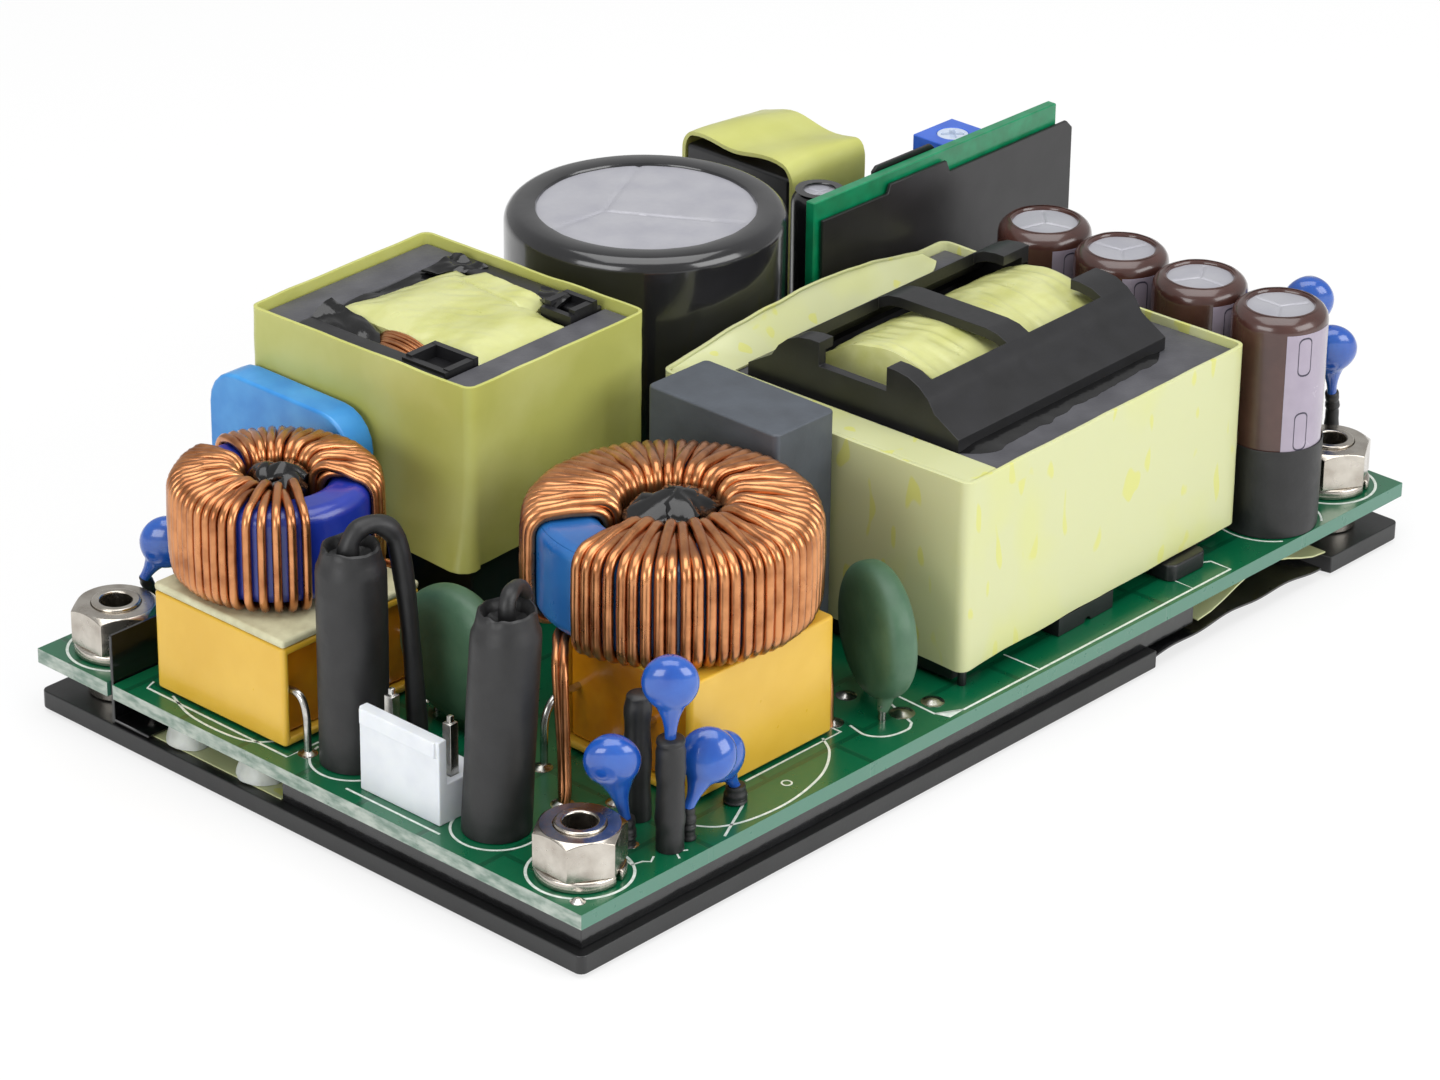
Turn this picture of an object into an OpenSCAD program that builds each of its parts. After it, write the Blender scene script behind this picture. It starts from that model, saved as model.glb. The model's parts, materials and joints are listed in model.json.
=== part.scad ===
// Open frame power supply: a dense circuit board on a flat metal base plate.
// The mains end is at -X, the output end at +X, and the near long edge at -Y.
// Millimetres. The origin is the middle of the plate's underside, with +Z up.

/* [Board] */
// Length of the circuit board
board_l = 127; // [122:0.5:140]
// Width of the circuit board
board_w = 76.2; // [75:0.1:90]
// Thickness of the circuit board
board_t = 1.6; // [1:0.1:2.4]

/* [Base plate] */
// Thickness of the base plate
plate_t = 2; // [1.5:0.1:4]
// How far the plate's edge lies inside the board's edge
plate_inset = 0.05; // [0:0.05:1]
// Corner radius of the plate
plate_corner_r = 0.8; // [0.5:0.1:3]
// Height of the space between plate and board
under_gap = 3; // [2.6:0.1:5]
// Length of the cut-out in the plate's near edge
cutout_l = 28; // [20:1:34]
// Depth of that cut-out
cutout_d = 8; // [5:0.5:12]
// Distance from the output end to the cut-out
cutout_from_end = 14; // [12:0.5:18]

/* [Corner fixings] */
// Distance from each board edge to the fixing holes
hole_inset = 5.715; // [5.5:0.005:7]
// Outside diameter of the hollow studs
stud_d = 5; // [4:0.1:5.5]
// Bore of the hollow studs
stud_bore_d = 3.3; // [2.5:0.1:3.6]
// Diameter of the stud's collar under the board
collar_d = 6.4; // [6:0.1:8]
// How far the stud stands above its nut
stud_proud = 0.3; // [0.1:0.1:2]
// Size of the nuts across their flats
nut_af = 8; // [7.5:0.1:8.4]
// Height of the nuts
nut_h = 4; // [2.5:0.1:5]
// Outside diameter of the spring washers
washer_d = 8.8; // [7.5:0.1:9.2]
// Thickness of the spring washers
washer_t = 1.2; // [0.8:0.1:1.6]
// Width of the split in a spring washer
washer_split = 0.8; // [0.4:0.1:1.5]
// Running space round the studs in nut, washer, board and plate
stud_clear = 0.05; // [0.02:0.01:0.2]

/* [Small filter capacitor and its choke] */
// Capacitor size along the board
small_cap_l = 18.4; // [16:0.1:20]
// Capacitor size across the board
small_cap_w = 18.6; // [16:0.1:19]
// Capacitor height
small_cap_h = 11; // [8:0.5:13]
// Thickness of the pad on top of the capacitor
choke_pad_t = 0.9; // [0.5:0.1:2]
// Outside diameter of the small ring core
small_core_d = 19.5; // [17:0.1:21]
// Hole of the small ring core
small_core_hole = 10; // [8:0.1:12]
// Height of the small ring core
small_core_h = 10; // [7:0.1:12]
// Wire size of the small choke
small_wire_d = 0.9; // [0.5:0.05:1]
// Turns in each half of the small choke
small_turns = 24; // [12:1:26]

/* [Large filter capacitor and its choke] */
// Capacitor size along the board
large_cap_l = 20.3; // [18:0.1:21]
// Capacitor size across the board
large_cap_w = 17.6; // [15:0.1:18]
// Capacitor height
large_cap_h = 13; // [10:0.5:15]
// Outside diameter of the large ring core
large_core_d = 27.2; // [24:0.1:28]
// Hole of the large ring core
large_core_hole = 14; // [12:0.1:16]
// Height of the large ring core
large_core_h = 10; // [7:0.1:12]
// Wire size of the large choke
large_wire_d = 1.05; // [0.6:0.05:1.2]
// Turns in each half of the large choke
large_turns = 33; // [16:1:35]

/* [Mains input] */
// Diameter of the sleeved fuses
fuse_d = 6.9; // [6:0.1:7.5]
// Height of the sleeved fuses
fuse_h = 23; // [20:0.5:27]
// Width of the mains header
header_w = 10.8; // [10:0.1:11.5]
// Height of the headers' walls
header_wall_h = 9; // [7:0.1:11]
// Distance between neighbouring pin positions
pin_pitch = 3.96; // [3.9:0.01:4]
// Width of a square pin
pin_w = 1.1; // [0.8:0.05:1.2]
// Diameter of the disc-shaped suppressors
disc_d = 14; // [11:0.5:14.5]
// Thickness of the disc-shaped suppressors
disc_t = 4.2; // [3:0.1:5]
// Diameter of the drop-shaped capacitors
drop_d = 5.4; // [4.6:0.1:5.8]
// Thickness of the drop-shaped capacitors
drop_t = 3.2; // [2:0.1:3.6]

/* [Input choke] */
// Size of its tape band along the board
boost_l = 26.2; // [23:0.1:26.4]
// Size of its tape band across the board
boost_w = 30.9; // [27:0.1:31]
// Height of its top above the board
boost_top = 30; // [26:0.5:31]
// Height of the tape band
boost_band_h = 19.5; // [14:0.5:20]
// Turn of the choke on the board
boost_turn = 2; // [0:0.5:2]

/* [Tall capacitors] */
// Diameter of the bulk capacitor
bulk_d = 30; // [25:0.5:30]
// Height of the bulk capacitor
bulk_h = 31.5; // [25:0.5:35]
// Diameter of its bare metal top
bulk_top_d = 23.2; // [18:0.1:24]
// Size of the grey capacitor along the board
grey_cap_l = 8.7; // [6:0.1:8.9]
// Size of the grey capacitor across the board
grey_cap_w = 17.5; // [14:0.1:18]
// Height of the grey capacitor
grey_cap_h = 26; // [20:0.5:28]
// Thickness of the blue film capacitor
film_cap_t = 3.6; // [2.6:0.1:3.6]
// Width of the blue film capacitor
film_cap_w = 20.6; // [17:0.1:22]
// Height of the blue film capacitor
film_cap_h = 24; // [18:0.5:26]
// Diameter of the output capacitors
out_cap_d = 10.2; // [8:0.1:10.4]
// Height of the output capacitors
out_cap_h = 25; // [18:0.5:30]
// Distance between the output capacitors' centres
out_cap_pitch = 10.6; // [10.5:0.1:11]
// Diameter of their bare metal tops
out_cap_top_d = 7; // [5:0.1:7.4]
// Height of the black boot on the last output capacitor
boot_h = 10.1; // [6:0.1:14]
// Diameter of the small capacitor behind the control board
small_can_d = 6.1; // [5:0.1:6.3]

/* [Main transformer] */
// Size of its tape band along the board
main_l = 45.8; // [42:0.1:46]
// Size of its tape band across the board
main_w = 40.4; // [37:0.1:41]
// Height of the tape band's top above the board
main_top = 22.7; // [20:0.1:24]
// Height of the tape band
main_band_h = 20.5; // [16:0.1:21]
// Turn of the transformer on the board
main_turn = 1.5; // [0:0.5:1.5]
// Radius of the taped coil
main_coil_r = 13.2; // [11:0.1:13.4]
// Width of the soft pad at the mains side of the core
main_pad_w = 4.8; // [3:0.1:6]
// Height of the bobbin's top above the board
bobbin_top = 28.4; // [28:0.1:31]

/* [Control board] */
// Length of the control board
control_l = 40; // [34:0.5:40.5]
// Height of its top above the main board
control_top = 31.5; // [29:0.1:34]
// Thickness of the control board
control_t = 1.2; // [0.8:0.1:1.6]
// Length of the trimmer along the control board
trimmer_l = 6.6; // [5:0.1:8]
// Depth of the trimmer
trimmer_w = 5.8; // [5:0.1:7]
// Height of the trimmer
trimmer_h = 6.4; // [4:0.1:8]
// Diameter of the trimmer's rotor
rotor_d = 3.4; // [2.4:0.1:4]
// Running space round the rotor
rotor_clear = 0.05; // [0.02:0.01:0.1]

/* [Auxiliary transformer] */
// Size along the board
aux_l = 11.8; // [9:0.1:12]
// Size across the board
aux_w = 16.2; // [13:0.1:17]
// Height of its top above the board
aux_top = 30; // [24:0.5:31]

/* [Hidden] */

// Board edges and the height of the board's upper face
mains_end = -board_l / 2;
output_end = board_l / 2;
near_edge = -board_w / 2;
far_edge = board_w / 2;
board_z = plate_t + under_gap;
deck = board_z + board_t;

// Small spaces that parts keep between them
seat = 0.05;
lead_d = 0.8;
epoxy_drop = 0.8;
wall = 0.8;
tape_t = 0.6;

// Fixing holes
hole_x = board_l / 2 - hole_inset;
hole_y = board_w / 2 - hole_inset;
nut_r = nut_af / sqrt(3);
nut_z = deck + washer_t;
stud_top = nut_z + nut_h + stud_proud;

// Mains end, from the near corner fixing towards the far one
fuse_x = mains_end + 2.75 + fuse_d / 2;
near_fuse_y = near_edge + hole_inset + nut_r + 3.4 + fuse_d / 2;
header_y = near_fuse_y + fuse_d / 2 + 0.45 + header_w / 2;
far_fuse_y = header_y + header_w / 2 + 1.2 + fuse_d / 2;
header_x = mains_end + 2.5;
header_depth = 6;
header_base_h = 4.2;
header_wall_t = 1.1;
small_cap_x = mains_end + 2.6;
small_cap_y = far_fuse_y + fuse_d / 2 + 2.5;
barrier_t = 0.4;
barrier_y = hole_y - nut_r - 0.6;
barrier_l = 8.6;
barrier_slot = 0.8;

// Small choke: it stands on the pad of the small capacitor
small_choke_x = small_cap_x + small_cap_l / 2 + 0.7;
small_choke_y = small_cap_y + small_cap_w / 2 + 1.9;
small_choke_z = deck + small_cap_h + choke_pad_t + small_wire_d + seat;

// Large capacitor and choke
large_cap_x = mains_end + 21.8;
large_cap_y = near_edge + 6.7;
large_choke_x = large_cap_x + large_cap_l / 2 + 0.2;
large_choke_y = large_cap_y + large_cap_w / 2 + 3.5;
large_choke_z = deck + large_cap_h + large_wire_d + seat;
gap_turn = 166;

// Main transformer, placed from the near edge and the output end
main_x = output_end - 24.2 - main_l / 2;
main_y = near_edge + 3.8 + main_w / 2;
main_core_h = 17.6;
main_core_z = deck + main_top - 0.8 - main_core_h;
main_coil_z = deck + main_coil_r + 0.6;
main_core_l = main_l - 2 * tape_t - main_pad_w - 0.2;
main_core_w = main_w - 2 * tape_t - 0.2;
main_core_x = (main_pad_w + 0.1) / 2;
main_window_l = main_core_l - 10;
main_leg_r = 5;
bobbin_l = 34;
bobbin_w = 27.6;
bobbin_x = main_core_x - 2.1;
bobbin_t = 1.1;
lug_w = 8;

// Output capacitors stand in a row across the board
out_cap_x = output_end - 17;
last_cap_y = near_edge + 5.3;
sleeve_t = 0.2;

// Parts of the far half, each placed from its neighbour or from the far edge
boost_x = mains_end + 27.6 + boost_l / 2;
boost_y = far_edge - 2.4 - boost_w / 2;
boost_leg = 4.5;
boost_core_h = boost_band_h - 2.4;
boost_core_z = deck + boost_top - 1 - boost_core_h;
bulk_x = mains_end + 71.7;
bulk_y = far_edge - 1.1 - bulk_d / 2;
grey_cap_x = main_x - main_l / 2 - 0.7 - grey_cap_l;
grey_cap_y = near_edge + 19.6;
film_cap_x = mains_end + 25.1;
film_cap_y = far_edge - 0.8 - film_cap_w / 2;
control_x = output_end - 43;
control_y = last_cap_y + 3 * out_cap_pitch + 10.3;
shield_t = 0.4;
trimmer_x = control_x + 24;
trimmer_z = deck + control_top - 1 - trimmer_h;
rotor_depth = 1.3;
small_can_x = control_x + 3.6 + small_can_d / 2;
small_can_y = control_y + control_t + 0.9 + small_can_d / 2;
aux_x = output_end - 35.4;
aux_y = far_edge - 2.7 - aux_w;

// Drop-shaped capacitors: middle of each, then the way from there to its foot,
// then the direction that its flat side faces
drop_places = [
    [[mains_end + 14.6, near_edge + 2.7, 17.6], [0.1, 0, -6], -137],
    [[mains_end + 10.5, near_edge + 6.2, 9.7], [1.8, 0, -7], -137],
    [[mains_end + 19.9, near_edge + 2.7, 7.9], [-2.7, 0, -4.7], -137],
    [[mains_end + 23.3, near_edge + 4.5, 5.7], [2.2, -0.2, -4], -110],
    [[mains_end + 11.1, far_edge - 5.6, 9.3], [-0.8, 0.8, -3.4], -137],
    [[output_end - 3.3, near_edge + 11.6, 18.9], [0, 0.3, -6], -137],
    [[output_end - 3.2, near_edge + 8.2, 14.3], [1.1, 0.4, -5.6], -137]];
// Ways from the foot to the board that bend past the fixings, by drop number
bent_feet = [4, 6];
sleeve_sizes = [2.8, 2, 1.4, 2.2, 1.3, 1.5, 1.5];

// ---------------------------------------------------------------- shapes

// Points of an arc about [cx, cy]
function arc(cx, cy, r, from, to, n) =
    [for (k = [0:n]) [cx + r * cos(from + (to - from) * k / n), cy + r * sin(from + (to - from) * k / n)]];

// Outline of a rectangle with rounded corners
function soft_rect(x0, x1, y0, y1, r, n = 4) = concat(
    arc(x1 - r, y0 + r, r, -90, 0, n), arc(x1 - r, y1 - r, r, 0, 90, n),
    arc(x0 + r, y1 - r, r, 90, 180, n), arc(x0 + r, y0 + r, r, 180, 270, n));

// Upright block with rounded upright edges
module soft_block(x0, y0, z0, l, w, h, r) {
    translate([0, 0, z0])
        linear_extrude(h) polygon(soft_rect(x0, x0 + l, y0, y0 + w, r));
}

module block(x0, y0, z0, l, w, h) {
    translate([x0, y0, z0]) cube([l, w, h]);
}

// Square loop of tape: a block with rounded edges, open through the middle
module tape_loop(l, w, z0, h, t, r) {
    translate([0, 0, z0])
        linear_extrude(h) difference() {
            polygon(soft_rect(-l / 2, l / 2, -w / 2, w / 2, r));
            polygon(soft_rect(-l / 2 + t, l / 2 - t, -w / 2 + t, w / 2 - t, 0.1));
        }
}

// Round wire along a list of points
function side_of(d) = abs(d[2]) > 0.9 * norm(d) ? [1, 0, 0] : [0, 0, 1];
function unit(v) = v / norm(v);
function ring(points, k, r, n) =
    let (last = len(points) - 1,
        d = unit(points[min(k + 1, last)] - points[max(k - 1, 0)]),
        u = unit(cross(d, [0.31, 0.87, 0.12])), v = cross(d, u))
    [for (s = [0:n - 1]) points[k] + r * (cos(360 * s / n) * u + sin(360 * s / n) * v)];
module wire(points, d, n = 6) {
    count = len(points);
    spots = [for (k = [0:count - 1]) each ring(points, k, d / 2, n)];
    faces = concat(
        [[for (s = [0:n - 1]) s]],
        [for (k = [0:count - 2]) for (s = [0:n - 1]) let (t = (s + 1) % n)
            [k * n + s, (k + 1) * n + s, (k + 1) * n + t, k * n + t]],
        [[for (s = [n - 1:-1:0]) (count - 1) * n + s]]);
    polyhedron(spots, faces);
}

// One half of a toroidal winding: turns side by side, joined inside the hole
module half_winding(core_d, hole_d, core_h, wire_d, turns, span) {
    pitch = span / turns;
    r_out = core_d / 2 + wire_d;
    r_join = hole_d / 2 - wire_d * 0.35;
    r_in = hole_d / 2 - wire_d;
    first = -span / 2;
    groove = 0.12 * pitch;
    difference() {
        intersection() {
            translate([0, 0, -wire_d])
                linear_extrude(core_h + 2 * wire_d) polygon(concat(
                    [for (k = [0:turns - 1]) let (a = first + k * pitch, b = a + pitch)
                        each concat(
                            k == 0 ? [] : [r_join * [cos(a + groove), sin(a + groove)]],
                            arc(0, 0, r_out, a + groove, b - groove, 2),
                            k == turns - 1 ? [] : [r_join * [cos(b - groove), sin(b - groove)]])],
                    arc(0, 0, r_in, first + span, first, 24)));
            rotate_extrude($fn = 96)
                polygon(soft_rect(r_in - 1.5, r_out + 0.01, -wire_d - 0.01, core_h + wire_d + 0.01, 2, 3));
        }
        rotate_extrude($fn = 96)
            polygon(soft_rect(hole_d / 2, core_d / 2, 0, core_h, 1.4, 3));
    }
}

module ring_core(d, hole, h) {
    rotate_extrude($fn = 96)
        polygon(soft_rect(hole / 2 + seat, d / 2 - seat, 0, h - 2 * seat, 1.4, 3));
}

// Three vanes in the hole of a choke, which keep the two halves apart
module choke_divider(hole_d, wire_d, h) {
    r = hole_d / 2 - wire_d - 0.3;
    for (a = [0, 180])
        rotate([0, 0, a]) block(0, -0.6, 0, r, 1.2, h);
    rotate([0, 0, 90]) block(-r * 0.45, -0.6, 0, r * 0.9, 1.2, h);
}

// Box capacitor lying on its side, open where the epoxy was poured in.
// The open side faces -X.
module lying_case(l, w, h) {
    difference() {
        soft_block(0, 0, 0, l, w, h, 0.5);
        block(-1, wall, wall, l - wall + 1, w - 2 * wall, h - 2 * wall);
    }
}

// Capacitor can: a turned body with a rolled edge and a vented top
module can_body(d, h, top_d) {
    rotate_extrude($fn = 96)
        polygon([[0, 0.3], [d / 2 - 0.6, 0.3], [d / 2 - 0.6, h - 1.4], [d / 2 - 1.4, h - 0.45],
            [top_d / 2, h - 0.45], [0, h - 0.45]]);
}
module can_sleeve(d, h, top_d, t) {
    rotate_extrude($fn = 96)
        polygon([[d / 2 - 0.6 + seat, 0.05], [d / 2, 0.05], [d / 2, h - 1.5], [d / 2 - 0.35, h - 0.6],
            [d / 2 - 1, h - 0.1], [d / 2 - 1.6, h], [top_d / 2 + 0.4, h], [top_d / 2, h - 0.25],
            [top_d / 2, h - 0.4], [d / 2 - 1.4, h - 0.4], [d / 2 - 0.6 + seat, h - 1.35]]);
}

// ---------------------------------------------------------------- base and board

module at_holes() {
    for (sx = [-1, 1], sy = [-1, 1])
        translate([sx * hole_x, sy * hole_y, 0]) children();
}

module base_plate() color("dimgray") {
    l = board_l - 2 * plate_inset;
    w = board_w - 2 * plate_inset;
    difference() {
        soft_block(-l / 2, -w / 2, 0, l, w, plate_t, plate_corner_r);
        at_holes() translate([0, 0, -1])
            cylinder(h = plate_t + 2, d = stud_d + 2 * stud_clear, $fn = 48);
        translate([0, 0, -1]) linear_extrude(plate_t + 2) polygon(concat(
            [[output_end - cutout_from_end + 2, near_edge - 1],
             [output_end - cutout_from_end + 1.4, near_edge + 2.2]],
            arc(output_end - cutout_from_end - 3, near_edge + cutout_d - 2, 2, 0, 90, 4),
            arc(output_end - cutout_from_end - cutout_l + 2, near_edge + cutout_d - 2, 2, 90, 180, 4),
            [[output_end - cutout_from_end - cutout_l, near_edge - 1]]));
    }
}

module standoff_studs() color("silver") at_holes() difference() {
    union() {
        cylinder(h = stud_top, d = stud_d, $fn = 48);
        translate([0, 0, plate_t]) cylinder(h = under_gap, d = collar_d, $fn = 48);
    }
    translate([0, 0, -1]) cylinder(h = stud_top + 2, d = stud_bore_d, $fn = 48);
}

module spring_washers() color("lightgray") at_holes() translate([0, 0, deck]) difference() {
    cylinder(h = washer_t, d = washer_d, $fn = 48);
    translate([0, 0, -1]) cylinder(h = washer_t + 2, d = stud_d + 2 * stud_clear, $fn = 48);
    rotate([0, 0, -78]) translate([0, -washer_split / 2, -1]) cube([washer_d, washer_split, washer_t + 2]);
}

module corner_nuts() color("lightgray") at_holes() translate([0, 0, nut_z]) difference() {
    intersection() {
        rotate([0, 0, 28.5]) cylinder(h = nut_h, r = nut_r, $fn = 6);
        rotate_extrude($fn = 48)
            polygon([[0, -1], [nut_r + 1, -1], [nut_r + 1, nut_h - 1.2], [nut_af / 2 - 0.2, nut_h + 0.06],
                [0, nut_h + 0.06]]);
    }
    translate([0, 0, -1]) cylinder(h = nut_h + 2, d = stud_d + 2 * stud_clear, $fn = 48);
}

module main_board() color("seagreen") difference() {
    block(mains_end, near_edge, board_z, board_l, board_w, board_t);
    at_holes() translate([0, 0, board_z - 1])
        cylinder(h = board_t + 2, d = stud_d + 2 * stud_clear, $fn = 48);
    block(mains_end - 1, barrier_y - barrier_slot / 2, board_z - 1,
        barrier_l + 1.4, barrier_slot, board_t + 2);
}

film_t = 0.3;
film_z = plate_t;
film_inset = 1.2;
film_y_end = far_fuse_y + fuse_d / 2 + 1.6;
film_wall_h = under_gap - 0.2;
module insulating_film() color([0.1, 0.1, 0.1]) {
    wave_end = output_end - cutout_from_end + 1;
    wave_start = wave_end - cutout_l + 6.4;
    difference() {
        union() {
            block(mains_end + film_inset, near_edge + film_inset, film_z, film_t,
                film_y_end - near_edge - film_inset, film_wall_h);
            block(mains_end + film_inset, near_edge + film_inset, film_z,
                wave_start - mains_end - film_inset, film_t, film_wall_h);
            block(mains_end + film_inset, near_edge + film_inset, film_z,
                wave_start - mains_end - film_inset, 4, film_t);
        }
        at_holes() translate([0, 0, film_z - 1])
            cylinder(h = film_wall_h + 2, d = collar_d + 0.6, $fn = 48);
    }
}

// Yellow tape on the plate at the mains end, and the wavy tape over the cut-out
tape_y_end = barrier_y - 1;
module insulating_tape() color([0.75, 0.8, 0.45]) {
    start = output_end - cutout_from_end - cutout_l + 8;
    end = output_end - cutout_from_end + 2;
    span = end - start;
    block(mains_end + film_inset, film_y_end + 0.2, film_z, 9, tape_y_end - film_y_end - 0.4, 0.15);
    translate([0, near_edge + cutout_d + 1, 0]) rotate([90, 0, 0])
        linear_extrude(cutout_d) polygon(concat(
            [for (k = [0:10]) [start + span * k / 10, film_z + 0.1 + 1.25 * (1 - cos(36 * k))]],
            [for (k = [10:-1:0]) [start + span * k / 10, film_z + 0.3 + 1.25 * (1 - cos(36 * k))]]));
}

// Film standing in the board's slot beside the far corner fixing
module edge_barrier() color([0.12, 0.12, 0.12]) {
    block(mains_end + 0.3, barrier_y - barrier_t / 2, film_z + 0.05, barrier_l, barrier_t,
        deck - film_z + washer_t + nut_h);
    block(mains_end + 0.3, barrier_y - barrier_t / 2 - 5, film_z + 0.25, barrier_l, 5, 0.3);
}

module sealant_beads() color("whitesmoke")
    for (y = [small_cap_y + 4.3, small_cap_y + 14.5])
        translate([mains_end + 3, y, plate_t + 0.2]) rotate_extrude($fn = 48)
            polygon([[0, 0], [1.9, 0], [2.1, 0.4], [1.7, 1.2], [1.1, 1.7], [1, under_gap - 0.25],
                [0, under_gap - 0.25]]);

// Power devices under the board, and one small device at the near edge on top
device_places = [[-34, 8], [-14, 22], [4, -6], [22, -24], [44, 14]];
device_l = 10;
device_w = 9;
pad_t = 0.5;
module thermal_pads() color("lightsteelblue")
    for (p = device_places) block(p[0], p[1], plate_t, device_l, device_w, pad_t);
module power_devices() color([0.15, 0.15, 0.15]) {
    for (p = device_places)
        block(p[0], p[1], plate_t + pad_t, device_l, device_w, under_gap - pad_t);
    soft_block(output_end - 36.4, near_edge + 2.9, deck, 6, 3.6, 1.9, 1);
}

// ---------------------------------------------------------------- small filter capacitor and choke

module at_small_cap() {
    translate([small_cap_x + small_cap_l, small_cap_y, deck + 0.3]) rotate([0, 0, 90]) children();
}
module small_cap_case() color("goldenrod") at_small_cap()
    lying_case(small_cap_w, small_cap_l, small_cap_h - 0.3);
module small_cap_epoxy() color([0.75, 0.5, 0.1]) at_small_cap()
    block(epoxy_drop, wall + seat, wall + seat, small_cap_w - wall - epoxy_drop - seat,
        small_cap_l - 2 * (wall + seat), small_cap_h - 0.3 - 2 * (wall + seat));
module small_cap_leads() color("silver")
    for (x = [1.2, small_cap_l - 1.6])
        wire([[small_cap_x + x, small_cap_y + epoxy_drop - seat, deck + 6.2],
            [small_cap_x + x, small_cap_y - 0.6, deck + 6.2],
            [small_cap_x + x, small_cap_y - 1.5, deck + 5.2],
            [small_cap_x + x, small_cap_y - 1.9, deck + 3.4],
            [small_cap_x + x, small_cap_y - 1.9, deck + seat]], lead_d);
module small_choke_pad() color([0.82, 0.82, 0.68])
    soft_block(small_cap_x, small_cap_y, deck + small_cap_h, small_cap_l, small_cap_w, choke_pad_t, 0.4);

small_near_gap = 44;
small_far_gap = 16;
small_span = 180 - small_near_gap / 2 - small_far_gap / 2;
small_shift = (small_near_gap - small_far_gap) / 4;
module at_small_choke() { translate([small_choke_x, small_choke_y, small_choke_z]) children(); }
module small_choke_core() color("royalblue") at_small_choke() translate([0, 0, seat])
    ring_core(small_core_d, small_core_hole, small_core_h);
module small_choke_winding_a() color("peru") at_small_choke() rotate([0, 0, small_shift])
    half_winding(small_core_d, small_core_hole, small_core_h, small_wire_d, small_turns, small_span);
module small_choke_winding_b() color("peru") at_small_choke() rotate([0, 0, 180 - small_shift])
    half_winding(small_core_d, small_core_hole, small_core_h, small_wire_d, small_turns, small_span);
module small_choke_divider() color([0.08, 0.08, 0.08]) at_small_choke() translate([0, 0, -small_wire_d])
    rotate([0, 0, 90]) choke_divider(small_core_hole, small_wire_d, small_core_h + 2 * small_wire_d);

// ---------------------------------------------------------------- large filter capacitor and choke

module at_large_cap() { translate([large_cap_x, large_cap_y, deck + 0.3]) children(); }
module large_cap_case() color("goldenrod") at_large_cap()
    lying_case(large_cap_l, large_cap_w, large_cap_h - 0.3);
module large_cap_epoxy() color([0.75, 0.5, 0.1]) at_large_cap()
    block(epoxy_drop, wall + seat, wall + seat, large_cap_l - wall - epoxy_drop - seat,
        large_cap_w - 2 * (wall + seat), large_cap_h - 0.3 - 2 * (wall + seat));
module large_cap_leads() color("silver")
    for (y = [5.6, large_cap_w - 2])
        wire([[large_cap_x + epoxy_drop - seat, large_cap_y + y, deck + 7],
            [large_cap_x - 2, large_cap_y + y, deck + 7],
            [large_cap_x - 3.4, large_cap_y + y, deck + 6.1],
            [large_cap_x - 4, large_cap_y + y, deck + 4.2],
            [large_cap_x - 4, large_cap_y + y, deck + seat]], lead_d);

large_near_gap = 29;
large_far_gap = 8;
large_span = 180 - large_near_gap / 2 - large_far_gap / 2;
large_shift = (large_near_gap - large_far_gap) / 4;
module at_large_choke() {
    translate([large_choke_x, large_choke_y, large_choke_z]) rotate([0, 0, gap_turn + 90]) children();
}
module large_choke_core() color("steelblue") at_large_choke() translate([0, 0, seat])
    ring_core(large_core_d, large_core_hole, large_core_h);
module large_choke_winding_a() color("peru") at_large_choke() rotate([0, 0, large_shift])
    half_winding(large_core_d, large_core_hole, large_core_h, large_wire_d, large_turns, large_span);
module large_choke_winding_b() color("peru") at_large_choke() rotate([0, 0, 180 - large_shift])
    half_winding(large_core_d, large_core_hole, large_core_h, large_wire_d, large_turns, large_span);
module large_choke_divider() color([0.08, 0.08, 0.08]) at_large_choke() translate([0, 0, -large_wire_d])
    rotate([0, 0, 90]) choke_divider(large_core_hole, large_wire_d, large_core_h + 2 * large_wire_d);

// Copper ends that run from the chokes down to the board
module choke_leads() color("peru") {
    wire([[large_cap_x - 1.6, large_cap_y + large_cap_w - 1.7, deck + large_cap_h + 0.8],
        [large_cap_x - 3.6, large_cap_y + large_cap_w - 3.4, deck + large_cap_h + 0.3],
        [large_cap_x - 4.9, large_cap_y + large_cap_w - 4.6, deck + large_cap_h - 1.2],
        [large_cap_x - 6.9, large_cap_y + large_cap_w - 7.2, deck + 4],
        [large_cap_x - 8.1, large_cap_y + large_cap_w - 8.5, deck + 1],
        [large_cap_x - 8.1, large_cap_y + large_cap_w - 8.5, deck + seat]], large_wire_d);
    wire([[large_cap_x + large_cap_l + 1.9, large_cap_y + 5.4, deck + large_cap_h - 0.2],
        [large_cap_x + large_cap_l + 1.4, large_cap_y + 3.6, deck + large_cap_h - 2],
        [large_cap_x + large_cap_l + 0.9, large_cap_y + 1.6, deck + 6],
        [large_cap_x + large_cap_l + 0.9, large_cap_y + 1.4, deck + 1],
        [large_cap_x + large_cap_l + 0.9, large_cap_y + 1.4, deck + seat]], large_wire_d);
    wire([[small_cap_x + small_cap_l + 0.6, small_cap_y + 3.6, deck + small_cap_h + choke_pad_t - 0.2],
        [small_cap_x + small_cap_l + 0.7, small_cap_y + 2, deck + small_cap_h - 1],
        [small_cap_x + small_cap_l + 0.9, small_cap_y + 0.6, deck + 6],
        [small_cap_x + small_cap_l + 0.9, small_cap_y, deck + 1],
        [small_cap_x + small_cap_l + 0.9, small_cap_y, deck + seat]], small_wire_d);
}

// ---------------------------------------------------------------- mains input

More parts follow.
